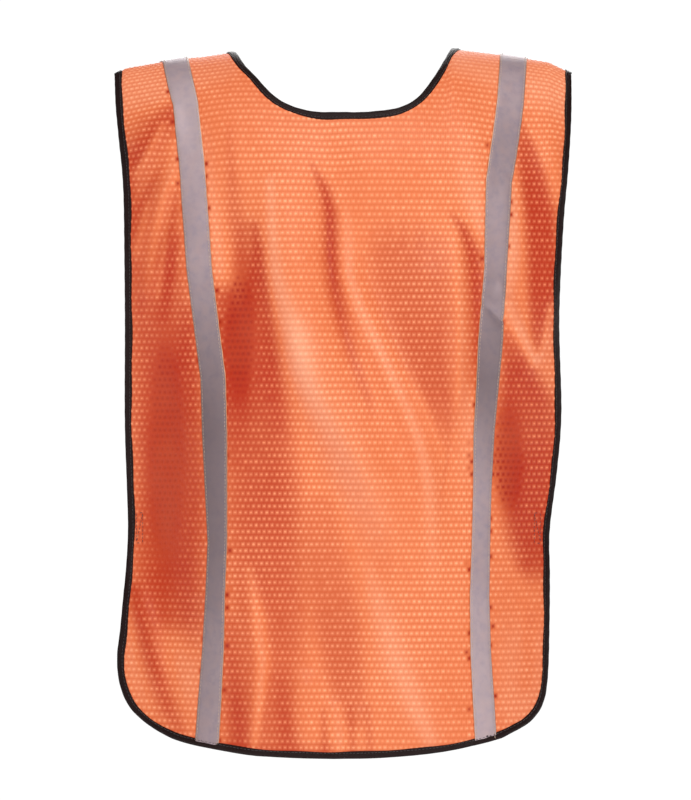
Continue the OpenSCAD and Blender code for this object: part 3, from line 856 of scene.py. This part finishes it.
def binding(cloth, line, middle=0.8):
    """Binding tape folded over the cloth's edge. The line runs along its middle."""
    side = sideways(line)
    lengths = arc_lengths(line)
    swell = 0.95 + 0.05 * np.sin(lengths / 9) + 0.04 * np.sin(lengths / 23 + 1)
    swell -= 0.13 * soft_step(line[:, 0], 150, 185)
    outer = BINDING_PROFILE[0][0]
    rings = []
    for offset, height in BINDING_PROFILE:
        flat = line + ((offset - outer) * swell + outer)[:, None] * side
        wobble = 0.12 * np.sin(lengths / 2.2 + offset)
        rings.append(cloth.on(flat, middle + height * swell + wobble)[0])
    points, faces = swept(rings)
    return points, faces, strip_uv(np.arange(len(BINDING_PROFILE)) * PROFILE_STEP, lengths)


def stitches(cloth, line, height, length=2.4, gap=0.9, thick=0.32):
    """Single stitches of thread along a line (x, run) on the cloth."""
    lengths = arc_lengths(line)
    starts = np.arange(0.6, lengths[-1] - length, length + gap)
    stations = np.array([0, 0.15, 0.5, 0.85, 1.0])
    rises = np.array([-0.35, 0.1, 0.3, 0.1, -0.35])
    sizes = np.array([0.5, 0.9, 1.0, 0.9, 0.5]) * thick
    where = (starts[:, None] + stations * length).ravel()
    flat = np.stack([np.interp(where, lengths, line[:, i]) for i in (0, 1)], -1)
    ahead_flat = np.stack([np.interp(where + 0.3, lengths, line[:, i]) for i in (0, 1)], -1)
    rise = np.tile(rises, len(starts)) + height
    middle, normal = cloth.on(flat, rise)
    ahead, _ = cloth.on(ahead_flat, rise)
    along = ahead - middle
    along /= np.maximum(np.linalg.norm(along, axis=1, keepdims=True), 1e-6)
    aside = np.cross(along, normal)
    size = np.tile(sizes, len(starts))[:, None]
    around = 6
    ring = [
        middle + size * (math.cos(a) * aside + math.sin(a) * normal * 0.8)
        for a in np.arange(around) * 2 * math.pi / around
    ]
    points = np.stack(ring, 1).reshape(len(starts), -1, 3)
    faces = ring_faces(len(stations), around)
    return joined([(part, faces) for part in points])


# --- Materials ------------------------------------------------------------------------------


class Nodes:
    """A material's node tree, with short calls to add and join nodes."""

    def __init__(self, name):
        self.material = bpy.data.materials.new(name)
        self.material.use_nodes = True
        self.tree = self.material.node_tree
        self.shader = self.tree.nodes["Principled BSDF"]

    def add(self, kind, **settings):
        """A new node with the given settings."""
        node = self.tree.nodes.new(kind)
        for key, value in settings.items():
            setattr(node, key, value)
        return node

    def link(self, source, target):
        """Joins two sockets."""
        self.tree.links.new(source, target)

    def math(self, operation, a, b=None, c=None):
        """A maths node on numbers or sockets."""
        node = self.add("ShaderNodeMath", operation=operation)
        for socket, value in zip(node.inputs, (a, b, c)):
            if value is None:
                continue
            if isinstance(value, (int, float)):
                socket.default_value = value
            else:
                self.link(value, socket)
        return node.outputs[0]

    def mix(self, share, a, b):
        """A mix of two colours, from a at share 0 to b at share 1."""
        node = self.add("ShaderNodeMix", data_type="RGBA")
        sockets = [node.inputs["Factor"], node.inputs[6], node.inputs[7]]
        for socket, value in zip(sockets, (share, a, b)):
            if isinstance(value, (int, float)):
                socket.default_value = value
            elif isinstance(value, tuple):
                socket.default_value = (*value, 1)
            else:
                self.link(value, socket)
        return node.outputs[2]

    def uv(self):
        """The distances across and along a piece, in units of 100 mm."""
        split = self.add("ShaderNodeSeparateXYZ")
        self.link(self.add("ShaderNodeTexCoord").outputs["UV"], split.inputs[0])
        return split.outputs[0], split.outputs[1]

    def noise(self, scale, detail=3.0):
        """Cloudy noise fixed to the piece."""
        node = self.add("ShaderNodeTexNoise")
        node.inputs["Scale"].default_value = scale
        node.inputs["Detail"].default_value = detail
        self.link(self.add("ShaderNodeTexCoord").outputs["Object"], node.inputs["Vector"])
        return node.outputs["Fac"]

    def waves(self, value, count):
        """A sine of the value with count waves in each unit, from 0 to 1."""
        turned_value = self.math("MULTIPLY", value, count * 2 * math.pi)
        return self.math("MULTIPLY_ADD", self.math("SINE", turned_value), 0.5, 0.5)

    def attribute(self, name):
        """A value that is stored on the points of the mesh."""
        return self.add("ShaderNodeAttribute", attribute_name=name).outputs["Fac"]

    def bump(self, height, strength, distance):
        """Fine relief of the surface."""
        node = self.add("ShaderNodeBump")
        node.inputs["Strength"].default_value = strength
        node.inputs["Distance"].default_value = distance
        self.link(height, node.inputs["Height"])
        self.link(node.outputs[0], self.shader.inputs["Normal"])

    def set(self, **values):
        """Sets inputs of the shader, with _ for each space in a name."""
        for key, value in values.items():
            self.shader.inputs[key.replace("_", " ")].default_value = value


def mesh_cloth_material():
    """Fluorescent orange polyester mesh: fine wales, stitches painted pale as highlights and pits painted
    dark as shade, on a ground with painted shade and painted highlights from the depth laid on each
    point, and painted shade between the rows. A weak red glow is painted light that stands in for the
    fluorescence."""
    n = Nodes("orange_mesh")
    across, down = n.uv()
    wales = n.waves(across, 100 / 1.6)
    courses = n.waves(n.math("ADD", down, CELL_HEIGHT / 400), 100 / CELL_HEIGHT)
    painted_glint_and_pit_shade = n.attribute("painted_glint_and_pit_shade")
    # depth is painted shade where positive and a painted highlight where negative.
    depth = n.attribute("depth")
    cloudy = n.noise(9.0)
    yarn = n.noise(900.0, 2.0)
    # Pale stitches are a painted highlight and near-black pits are painted shade.
    painted_pit_shade = n.math("MULTIPLY", painted_glint_and_pit_shade, -1.0)
    painted_highlight = n.math("MULTIPLY", depth, -1.0)
    painted_fold_shade = n.math("MULTIPLY", depth, 1.08)  # full a little before the depth is
    # Deep red is painted shade in the folds; the pale colours are painted highlights on the crests.
    ground_in_painted_shade = n.mix(painted_fold_shade, (0.385, 0.143, 0.050), (0.10, 0.008, 0.001))
    ground = n.mix(painted_highlight, ground_in_painted_shade, (0.50, 0.30, 0.17))
    stitch_in_painted_shade = n.mix(depth, (0.62, 0.36, 0.19), (0.50, 0.20, 0.090))
    stitch = n.mix(painted_highlight, stitch_in_painted_shade, (0.62, 0.42, 0.27))
    dye_and_painted_light = n.mix(painted_pit_shade, n.mix(painted_glint_and_pit_shade, ground, stitch), (0.03, 0.003, 0.001))
    fading = n.math("MULTIPLY", n.math("SUBTRACT", cloudy, 0.45), 0.6)
    uneven = n.mix(fading, dye_and_painted_light, (0.44, 0.20, 0.08))
    # Fine lines along the wales are the knit's pattern; darker lines between rows are painted shade in the
    # grooves.
    lines = n.math("MULTIPLY_ADD", wales, 0.06, n.math("MULTIPLY", courses, 0.18))
    wales_and_painted_row_shade = n.mix(lines, uneven, (0.22, 0.045, 0.010))
    n.link(wales_and_painted_row_shade, n.shader.inputs["Base Color"])
    relief = n.math("MULTIPLY_ADD", wales, 0.4, n.math("MULTIPLY", yarn, 0.5))
    n.bump(relief, 0.5, 0.0004)
    n.set(
        Roughness=0.5,
        Specular_IOR_Level=0.22,
        Sheen_Weight=0.03,
        Sheen_Roughness=0.5,
        # The red glow is painted light: the cloth glows though it is no lamp.
        Emission_Color=(1.0, 0.03, 0.0, 1),
        Emission_Strength=0.35,
    )
    return n.material


def tape_material():
    """Grey reflective tape with a fine woven grain, a soft sheen, darker mottled patches that differ at
    random, and painted shade and painted highlights laid along it.
    """
    n = Nodes("reflective_tape")
    across, down = n.uv()
    grain = n.waves(across, 100 / 0.9)
    weave = n.waves(down, 100 / 0.9)
    blotch = n.noise(30.0)
    cool = n.math("MULTIPLY_ADD", n.noise(150.0, 2.0), 3.0, -1.3)
    warm = n.math("MULTIPLY_ADD", n.noise(95.0, 2.0), 3.0, -1.4)
    depth = n.attribute("depth")
    edge = n.math("GREATER_THAN", n.math("ABSOLUTE", across), 0.121)
    plain_grey = n.mix(blotch, (0.285, 0.212, 0.228), (0.40, 0.303, 0.320))
    cooler = n.mix(n.math("MULTIPLY", cool, 0.6), plain_grey, (0.235, 0.190, 0.245))
    mottled = n.mix(n.math("MULTIPLY", warm, 0.6), cooler, (0.39, 0.268, 0.262))
    # Deep grey is painted shade and pale grey a painted highlight, from the depth laid on each point.
    painted_highlight = n.math("MULTIPLY", depth, -1.0)
    grey = n.mix(painted_highlight, n.mix(depth, mottled, (0.110, 0.078, 0.086)), (0.62, 0.49, 0.505))
    sewn = n.mix(edge, grey, (0.42, 0.19, 0.08))
    n.link(sewn, n.shader.inputs["Base Color"])
    relief = n.math("MULTIPLY_ADD", grain, 0.5, n.math("MULTIPLY", weave, 0.5))
    n.bump(relief, 0.25, 0.0002)
    n.set(Roughness=0.42, Metallic=0.25, Specular_IOR_Level=0.5)
    return n.material


def woven_material(name, dark, light, roughness, threads=1.1, sheen=0.1, shine=0.3):
    """A plain woven tape: crossing ribs of thread."""
    n = Nodes(name)
    across, down = n.uv()
    ribs = n.math("MULTIPLY", n.waves(across, 100 / threads), n.waves(down, 100 / threads))
    speck = n.noise(60.0)
    share = n.math("MULTIPLY_ADD", ribs, 0.5, n.math("MULTIPLY", speck, 0.5))
    n.link(n.mix(share, dark, light), n.shader.inputs["Base Color"])
    n.bump(ribs, 0.5, 0.0003)
    n.set(Roughness=roughness, Specular_IOR_Level=shine, Sheen_Weight=sheen, Sheen_Roughness=0.4)
    return n.material


def thread_material(name, colour, other):
    """Twisted sewing thread."""
    n = Nodes(name)
    twist = n.noise(1400.0, 1.0)
    n.link(n.mix(twist, colour, other), n.shader.inputs["Base Color"])
    n.bump(twist, 0.4, 0.0001)
    n.set(Roughness=0.5, Sheen_Weight=0.2)
    return n.material


def pile_material(name, dark, light, scale):
    """The face of a hook or loop strip."""
    n = Nodes(name)
    pile = n.noise(scale, 4.0)
    n.link(n.mix(pile, dark, light), n.shader.inputs["Base Color"])
    n.bump(pile, 0.8, 0.0006)
    n.set(Roughness=0.75, Sheen_Weight=0.3)
    return n.material


ORANGE = mesh_cloth_material()
TAPE = tape_material()
BINDING = woven_material("edge_binding", (0.0060, 0.0012, 0.0010), (0.015, 0.0050, 0.0045), 0.4, 0.8,
                         sheen=0.0, shine=0.14)
SEAM = woven_material("seam_tape", (0.006, 0.004, 0.005), (0.02, 0.015, 0.017), 0.5)
ELASTIC = woven_material("elastic", (0.006, 0.005, 0.006), (0.03, 0.024, 0.026), 0.55, 2.0)
PALE_THREAD = thread_material("pale_thread", (0.36, 0.24, 0.17), (0.52, 0.38, 0.29))
DARK_THREAD = thread_material("dark_thread", (0.012, 0.009, 0.010), (0.03, 0.024, 0.027))
HOOKS = pile_material("hook_tape", (0.008, 0.007, 0.008), (0.035, 0.03, 0.032), 700.0)
LOOPS = pile_material("loop_tape", (0.012, 0.010, 0.012), (0.05, 0.045, 0.048), 420.0)
LABEL = woven_material("label_cloth", (0.72, 0.72, 0.70), (0.88, 0.88, 0.86), 0.6, 0.5)


# --- The pieces -----------------------------------------------------------------------------


def add(name, shape, material, slot, *nodes, attributes=None):
    """A new piece from (points, faces) or (points, faces, uv), which stands for some CAD nodes."""
    uv = shape[2] if len(shape) > 2 else shape[0][:, (0, 2)] / 100
    obj = new_object(name, shape[0], shape[1], material, uv, attributes)
    if nodes:
        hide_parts(*nodes)
    return obj


def hang(obj):
    """Bakes the placement of a front's piece into its points."""
    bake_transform(obj)


def back_tape_line(side):
    """The middle of a back tape, from the shoulder seam to the hem."""
    over_shoulder = np.linspace(seam_z(153) + 0.5, -TURN, 60)
    z = np.concatenate([over_shoulder, np.linspace(-TURN - 3, BACK_TAPE_ENDS[side], 200)])
    return spaced(on_cloth(np.stack([back_tape_x(z, side), z], -1)), LINE_STEP)


def front_tape_line(side):
    """The middle of a front tape, from the back tape's end at the shoulder seam to the hem."""
    top = 158 if side == "right" else 157
    s = np.linspace(0, float(drape_at(0, hem_z(TAPE_FOOT) + 5)), 240)
    x = TAPE_FOOT + (top - TAPE_FOOT) * np.maximum(0, 1 - s / 2.7) ** 1.5
    return spaced(np.stack([x, run_at(s)], -1), LINE_STEP)


def tape(name, cloth, line, width, shade, *nodes):
    """A strip of reflective tape with a painted shade per point of its line."""
    shape = ribbon(cloth, line, width, TAPE_LOW, TAPE_HIGH)
    # The depth attribute carries the tape's painted shade and painted highlight.
    depth = np.repeat(np.broadcast_to(shade, len(line)), len(shape[0]) // len(line))
    return add(name, shape, TAPE, "reflective_tape", *nodes, attributes={"depth": depth})


def tape_seams(cloth, line, width):
    """The two lines of stitches that hold a tape."""
    offset = (np.broadcast_to(width, len(line)) / 2 - 1.8)[:, None] * sideways(line)
    height = TAPE_HIGH + 0.25
    return joined([stitches(cloth, line + sign * offset, height, thick=0.24) for sign in (-1, 1)])


def stitch_box(cloth, left, right, upper, lower, height, crossed=False):
    """Lines of stitches round a rectangle, and along its diagonal if it is crossed."""
    corners = [(left, upper), (right, upper), (right, lower), (left, lower), (left, upper)]
    ends = list(zip(corners, corners[1:]))
    if crossed:
        ends.append((corners[0], corners[2]))
    return [stitches(cloth, straight(start, end, 2), height, thick=0.25) for start, end in ends]


def binding_stitches(cloth, middle):
    """The line of stitches that holds a binding, by the binding's middle line."""
    return stitches(cloth, moved_in(middle, BINDING_SEAM), 1.95, thick=0.22)


def strap_box(cloth, edge_x, sign=1):
    """The box of stitching at the end of a strap."""
    inner = sign * (edge_x - SEWN + 2)
    outer = sign * (edge_x - 8)
    middle = float(run_at(drape_at(0, -STRAP_DROP)))
    half = STRAP_WIDTH / 2 - 2
    return stitch_box(cloth, inner, outer, middle - half, middle + half, 1.2, crossed=True)


edge_line, scoop_line, back_line = back_outline()
edge_middle = moved_in(spaced(edge_line, LINE_STEP), BINDING_INSET)
scoop_middle = moved_in(spaced(scoop_line, LINE_STEP), BINDING_INSET)


def build_back():
    """The back panel with its tapes, bindings and stitching."""
    panel = mesh_cloth("mesh_back", BACK, back_line, ORANGE)
    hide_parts("back_panel")
    pieces = [panel]
    seams = []
    for name, side in (("left", -1), ("right", 1)):
        line = back_tape_line(side)
        z = drape_z(line[:, 0], drape_of_run(line[:, 1]))
        width = back_tape_width(z, side)
        shade = back_tape_shade(z, side)
        pieces.append(tape(f"tape_back_{name}_strip", BACK, line, width, shade, f"tape_back_{name}"))
        seams.append(tape_seams(BACK, line, width))
    pieces.append(add("tape_stitches_back", joined(seams), PALE_THREAD, "thread", "tape_stitching_back"))
    for name, middle, node in (
        ("binding_edge_back", edge_middle, "binding_back_edge"),
        ("binding_neck_back", scoop_middle, "binding_back_neck"),
    ):
        pieces.append(add(name, binding(BACK, middle), BINDING, "edge_binding", node))
    dark = [binding_stitches(BACK, middle) for middle in (edge_middle, scoop_middle)]
    pieces.append(add("binding_stitches_back", joined(dark), DARK_THREAD, "thread", "binding_stitching_back"))
    boxes = strap_box(BACK, BACK_AT_STRAP["left"], -1) + strap_box(BACK, BACK_AT_STRAP["right"])
    pieces.append(add("strap_stitches_back", joined(boxes), DARK_THREAD, "thread", "strap_stitching_back"))
    for piece in pieces:
        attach(piece, "back")
    return pieces


def build_front(side):
    """A front panel with its tape, binding and stitching."""
    cloth = FRONTS[side]
    outline = front_outline(side)
    middle = moved_in(spaced(outline, LINE_STEP), BINDING_INSET)
    panel = mesh_cloth(f"mesh_front_{side}", cloth, outline, ORANGE)
    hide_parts(f"front_yoke_{side}", f"front_panel_{side}")
    line = front_tape_line(side)
    nodes = (f"tape_yoke_{side}", f"tape_front_{side}")
    strip = tape(f"tape_front_{side}_strip", cloth, line, TAPE_WIDTH, 0.15, *nodes)
    nodes = (f"binding_yoke_{side}", f"binding_front_{side}")
    edge = add(f"binding_edge_front_{side}", binding(cloth, middle), BINDING, "edge_binding", *nodes)
    pale = tape_seams(cloth, line, TAPE_WIDTH)
    seams = add(f"tape_stitches_front_{side}", pale, PALE_THREAD, "thread", f"stitching_front_{side}")
    dark = [binding_stitches(cloth, middle)] + strap_box(cloth, WAIST_HALF - SLIMMING[side])
    threads = add(f"dark_stitches_front_{side}", joined(dark), DARK_THREAD, "thread")
    pieces = [panel, strip, edge, seams, threads]
    for piece in pieces:
        hang(piece)
    return pieces


def build_seam(name, sign):
    """The tape inside a shoulder seam."""
    x = np.linspace(NECK_HALF + 8, SHOULDER_HALF - 8, 40) * sign
    shares = np.linspace(-0.08, 0.08, 7)
    top = [(a, -0.6) for a in shares]
    bottom = [(a, -1.2) for a in shares[::-1]]
    rings = [BACK.at(x, np.full(len(x), s), height)[0] for s, height in top + bottom]
    piece = add(f"seam_tape_{name}", swept(rings), SEAM, "seam_tape", f"shoulder_seam_{name}")
    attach(piece, "back")
    return piece


def strap_route(side, sign):
    """The strap's middle line in plan, from the back panel's edge to the front's."""
    s = float(drape_at(0, -STRAP_DROP))
    edge = BACK_AT_STRAP[side]
    sewn_x = np.linspace(edge - SEWN, edge - 1, 6) * sign
    back_part, _ = BACK.at(sewn_x, np.full(6, s), -1.2)
    front_edge = WAIST_HALF - SLIMMING[side]
    front_x = np.linspace(front_edge - 1, front_edge - SEWN, 6)
    front_part, _ = FRONTS[side].at(front_x, np.full(6, s), -1.2)
    start, end = back_part[-1, :2], front_part[0, :2]
    middle = np.array([(edge - 4) * sign, HINGE[1] - 6.0])
    t = np.linspace(0, 1, 16)[1:-1, None]
    free = (1 - t) ** 2 * start + 2 * t * (1 - t) * middle + t**2 * end
    return np.vstack([back_part[:, :2], free, front_part[:, :2]])


def build_strap(name, sign):
    """A ribbed elastic strap whose upper and lower edges wave slightly."""
    route = spaced(strap_route(name, sign), 1.5)
    out = sideways(route) * sign
    heights = np.linspace(-STRAP_WIDTH / 2, STRAP_WIDTH / 2, 17)
    lengths = arc_lengths(route)
    rings = []
    profile = [(h, 0.55) for h in heights] + [(h, -0.55) for h in heights[::-1]]
    for number, (height, thick) in enumerate(profile):
        ribbed = thick * (1 + 0.12 * (number % 2))
        flat = route + out * (ribbed + 0.12 * np.sin(lengths * 1.6))[:, None]
        z = -STRAP_DROP + height + 0.3 * np.sin(lengths / 5 + height)
        rings.append(np.column_stack([flat, z]))
    points, faces = swept(rings)
    shape = (points, faces, strip_uv([h for h, _ in profile], lengths))
    strap = add(f"elastic_{name}", shape, ELASTIC, "elastic", f"strap_{name}", f"strap_end_{name}")
    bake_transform(strap)
    return strap


def build_closure(side, low, name, node, material, slot):
    """The hook or loop strips of one front, with their stitching."""
    cloth = FRONTS[side]
    x = front_edge_x(RISES[side]) + OVERLAP
    inward = low < 0
    face = low if inward else low + CLOSURE_THICKNESS
    thread_height = face - 0.1 if inward else face + 0.1
    inset = 1.5
    parts = []
    threads = []
    for top in CLOSURE_TOPS:
        upper = float(run_at(drape_at(0, -top)))
        lower = upper + CLOSURE_LENGTH
        line = straight((x, upper), (x, lower), 2.5)
        parts.append(ribbon(cloth, line, CLOSURE_WIDTH, low, low + CLOSURE_THICKNESS, across=8)[:2])
        parts.append(pile(cloth, x, upper, face, inward))
        half = CLOSURE_WIDTH / 2 - inset
        threads += stitch_box(cloth, x - half, x + half, upper + inset, lower - inset, thread_height)
    strips = add(name, joined(parts), material, slot, node)
    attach(strips, f"front_{side}")
    sewn = add(f"{name}_stitches", joined(threads), DARK_THREAD, "thread")
    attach(sewn, f"front_{side}")
    return [strips, sewn]


def pile(cloth, x, run_top, height, hooks):
    """Rows of small hooks, or of soft loops, standing on a closure strip."""
    step = 1.9
    across = np.arange(-CLOSURE_WIDTH / 2 + 3, CLOSURE_WIDTH / 2 - 2.5, step)
    down = np.arange(3, CLOSURE_LENGTH - 2.5, step)
    spots = np.array([(x + a, run_top + b) for a in across for b in down])
    spots += rng.normal(0, 0.12 if hooks else 0.4, spots.shape)
    base, normal = cloth.on(spots, height)
    out = -normal if hooks else normal
    lean = np.cross(out, [0, 0, 1.0]) * (1 if hooks else rng.choice([-1, 1], len(spots))[:, None])
    stem = [(0.0, 0.0, 0.22), (0.0, 0.5, 0.2), (0.25, 0.75, 0.17), (0.5, 0.6, 0.12)]
    parts = []
    for spot, up, side in zip(base, out, lean):
        down_side = np.cross(up, side)
        ring = [
            spot + side * shift + up * rise + size * (math.cos(a) * side + math.sin(a) * down_side)
            for shift, rise, size in stem
            for a in (0, 2.1, 4.2)
        ]
        parts.append((np.array(ring), ring_faces(len(stem), 3)))
    return joined(parts)


def build_label():
    """A blank care label, curling a little at its foot."""
    top = -(SCOOP_DEPTH + 7)
    y = float(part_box("care_label")[0].y / MM) + 0.3
    down = np.linspace(0, LABEL_LENGTH, 22)
    across = np.linspace(-LABEL_WIDTH / 2, LABEL_WIDTH / 2, 13)
    front = []
    for drop in down:
        curl = 1.2 * (drop / LABEL_LENGTH) ** 2 + 0.25 * math.sin(drop / 5)
        for x in across:
            front.append((x, y + curl + 0.2 * math.cos(x / 6), top - drop))
    front = np.array(front)
    points = np.vstack([front, front + (0, LABEL_THICKNESS, 0)])
    columns = len(across)
    count = len(front)
    faces = []
    for j in range(len(down) - 1):
        for i in range(columns - 1):
            a = j * columns + i
            faces.append((a, a + 1, a + columns + 1, a + columns))
            faces.append((count + a, count + a + columns, count + a + columns + 1, count + a + 1))
    rim = list(range(columns)) + [j * columns + columns - 1 for j in range(1, len(down))]
    rim += [(len(down) - 1) * columns + i for i in range(columns - 2, -1, -1)]
    rim += [j * columns for j in range(len(down) - 2, 0, -1)]
    for a, b in zip(rim, rim[1:] + rim[:1]):
        faces.append((a, count + a, count + b, b))
    label = add("blank_label", (points, faces), LABEL, "label_cloth", "care_label")
    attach(label, "label")
    return label


# --- Stage ----------------------------------------------------------------------------------


def plain(name, colour, strength):
    """A matt material with a white glow of the given strength."""
    n = Nodes(name)
    speck = n.noise(2.0)
    n.link(n.mix(speck, colour, tuple(c * 0.98 for c in colour)), n.shader.inputs["Base Color"])
    n.set(Roughness=0.9, Emission_Color=(1, 1, 1, 1), Emission_Strength=strength)
    return n.material


def build_floor():
    """A plain pale floor well below the vest, which hangs."""
    size = 14
    corners = [(-size, -size), (size, -size), (size, size), (-size, size)]
    points = np.array([(x, y, -1.4) for x, y in corners]) / MM
    floor = new_object("floor", points, [(0, 1, 2, 3)], plain("pale_floor", (0.85, 0.85, 0.85), 0.8))


def build_light(name, place, size, power, colour=(1, 1, 1)):
    """A square soft light at a place, pointed at the middle of the vest."""
    data = bpy.data.lights.new(name, "AREA")
    data.shape = "SQUARE"
    data.size = size
    data.energy = power
    data.color = colour
    lamp = bpy.data.objects.new(name, data)
    lamp.location = place
    aim = np.array([0, 0, -0.32]) - np.array(place)
    lamp.rotation_euler = Vector(aim).to_track_quat("-Z", "Y").to_euler()
    bpy.context.scene.collection.objects.link(lamp)


def build_world():
    """White to the camera, and a weaker even light on the vest."""
    world = bpy.data.worlds.new("studio")
    bpy.context.scene.world = world
    world.use_nodes = True
    tree = world.node_tree
    background = tree.nodes["Background"]
    background.inputs["Color"].default_value = (1, 1, 1, 1)
    path = tree.nodes.new("ShaderNodeLightPath")
    strength = tree.nodes.new("ShaderNodeMapRange")
    strength.inputs["To Min"].default_value = 0.16
    strength.inputs["To Max"].default_value = 1.05
    tree.links.new(path.outputs["Is Camera Ray"], strength.inputs["Value"])
    tree.links.new(strength.outputs[0], background.inputs["Strength"])


def build_camera():
    """Level with the vest's middle, straight behind it, with a long lens."""
    distance = 9.0
    data = bpy.data.cameras.new("camera")
    data.sensor_width = 36
    data.lens = data.sensor_width * distance / VIEW_HEIGHT  # the sensor fits the longer side
    data.clip_end = 200
    camera = bpy.data.objects.new("camera", data)
    camera.location = (0.0023, -0.095 - distance, -0.320)
    camera.rotation_euler = (math.pi / 2, 0, 0)
    bpy.context.scene.collection.objects.link(camera)
    bpy.context.scene.camera = camera


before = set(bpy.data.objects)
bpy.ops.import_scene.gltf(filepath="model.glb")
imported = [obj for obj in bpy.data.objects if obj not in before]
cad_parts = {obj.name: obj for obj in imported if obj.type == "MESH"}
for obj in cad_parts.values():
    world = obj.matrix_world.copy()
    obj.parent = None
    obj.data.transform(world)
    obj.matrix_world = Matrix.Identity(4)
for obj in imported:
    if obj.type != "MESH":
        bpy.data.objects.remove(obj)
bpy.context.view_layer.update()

back_pieces = build_back()
front_pieces = {side: build_front(side) for side in ("left", "right")}
for name, sign in (("left", -1), ("right", 1)):
    build_seam(name, sign)
    build_strap(name, sign)
hook_pieces = build_closure("left", -1.3, "hook_tape", "hook_strips", HOOKS, "hook_tape")
loop_pieces = build_closure("right", 1.2, "loop_tape", "loop_strips", LOOPS, "loop_tape")
build_label()

build_floor()
build_light("key", (1.3, -3.8, 2.4), 1.4, 168)
build_light("fill", (-2.2, -3.2, 1.2), 2.0, 26)
build_light("top", (-0.3, -1.5, 2.6), 1.4, 26)
build_light("behind", (0.4, 3.0, 1.2), 2.4, 60)
build_world()
build_camera()
bpy.context.scene.view_settings.view_transform = "Standard"
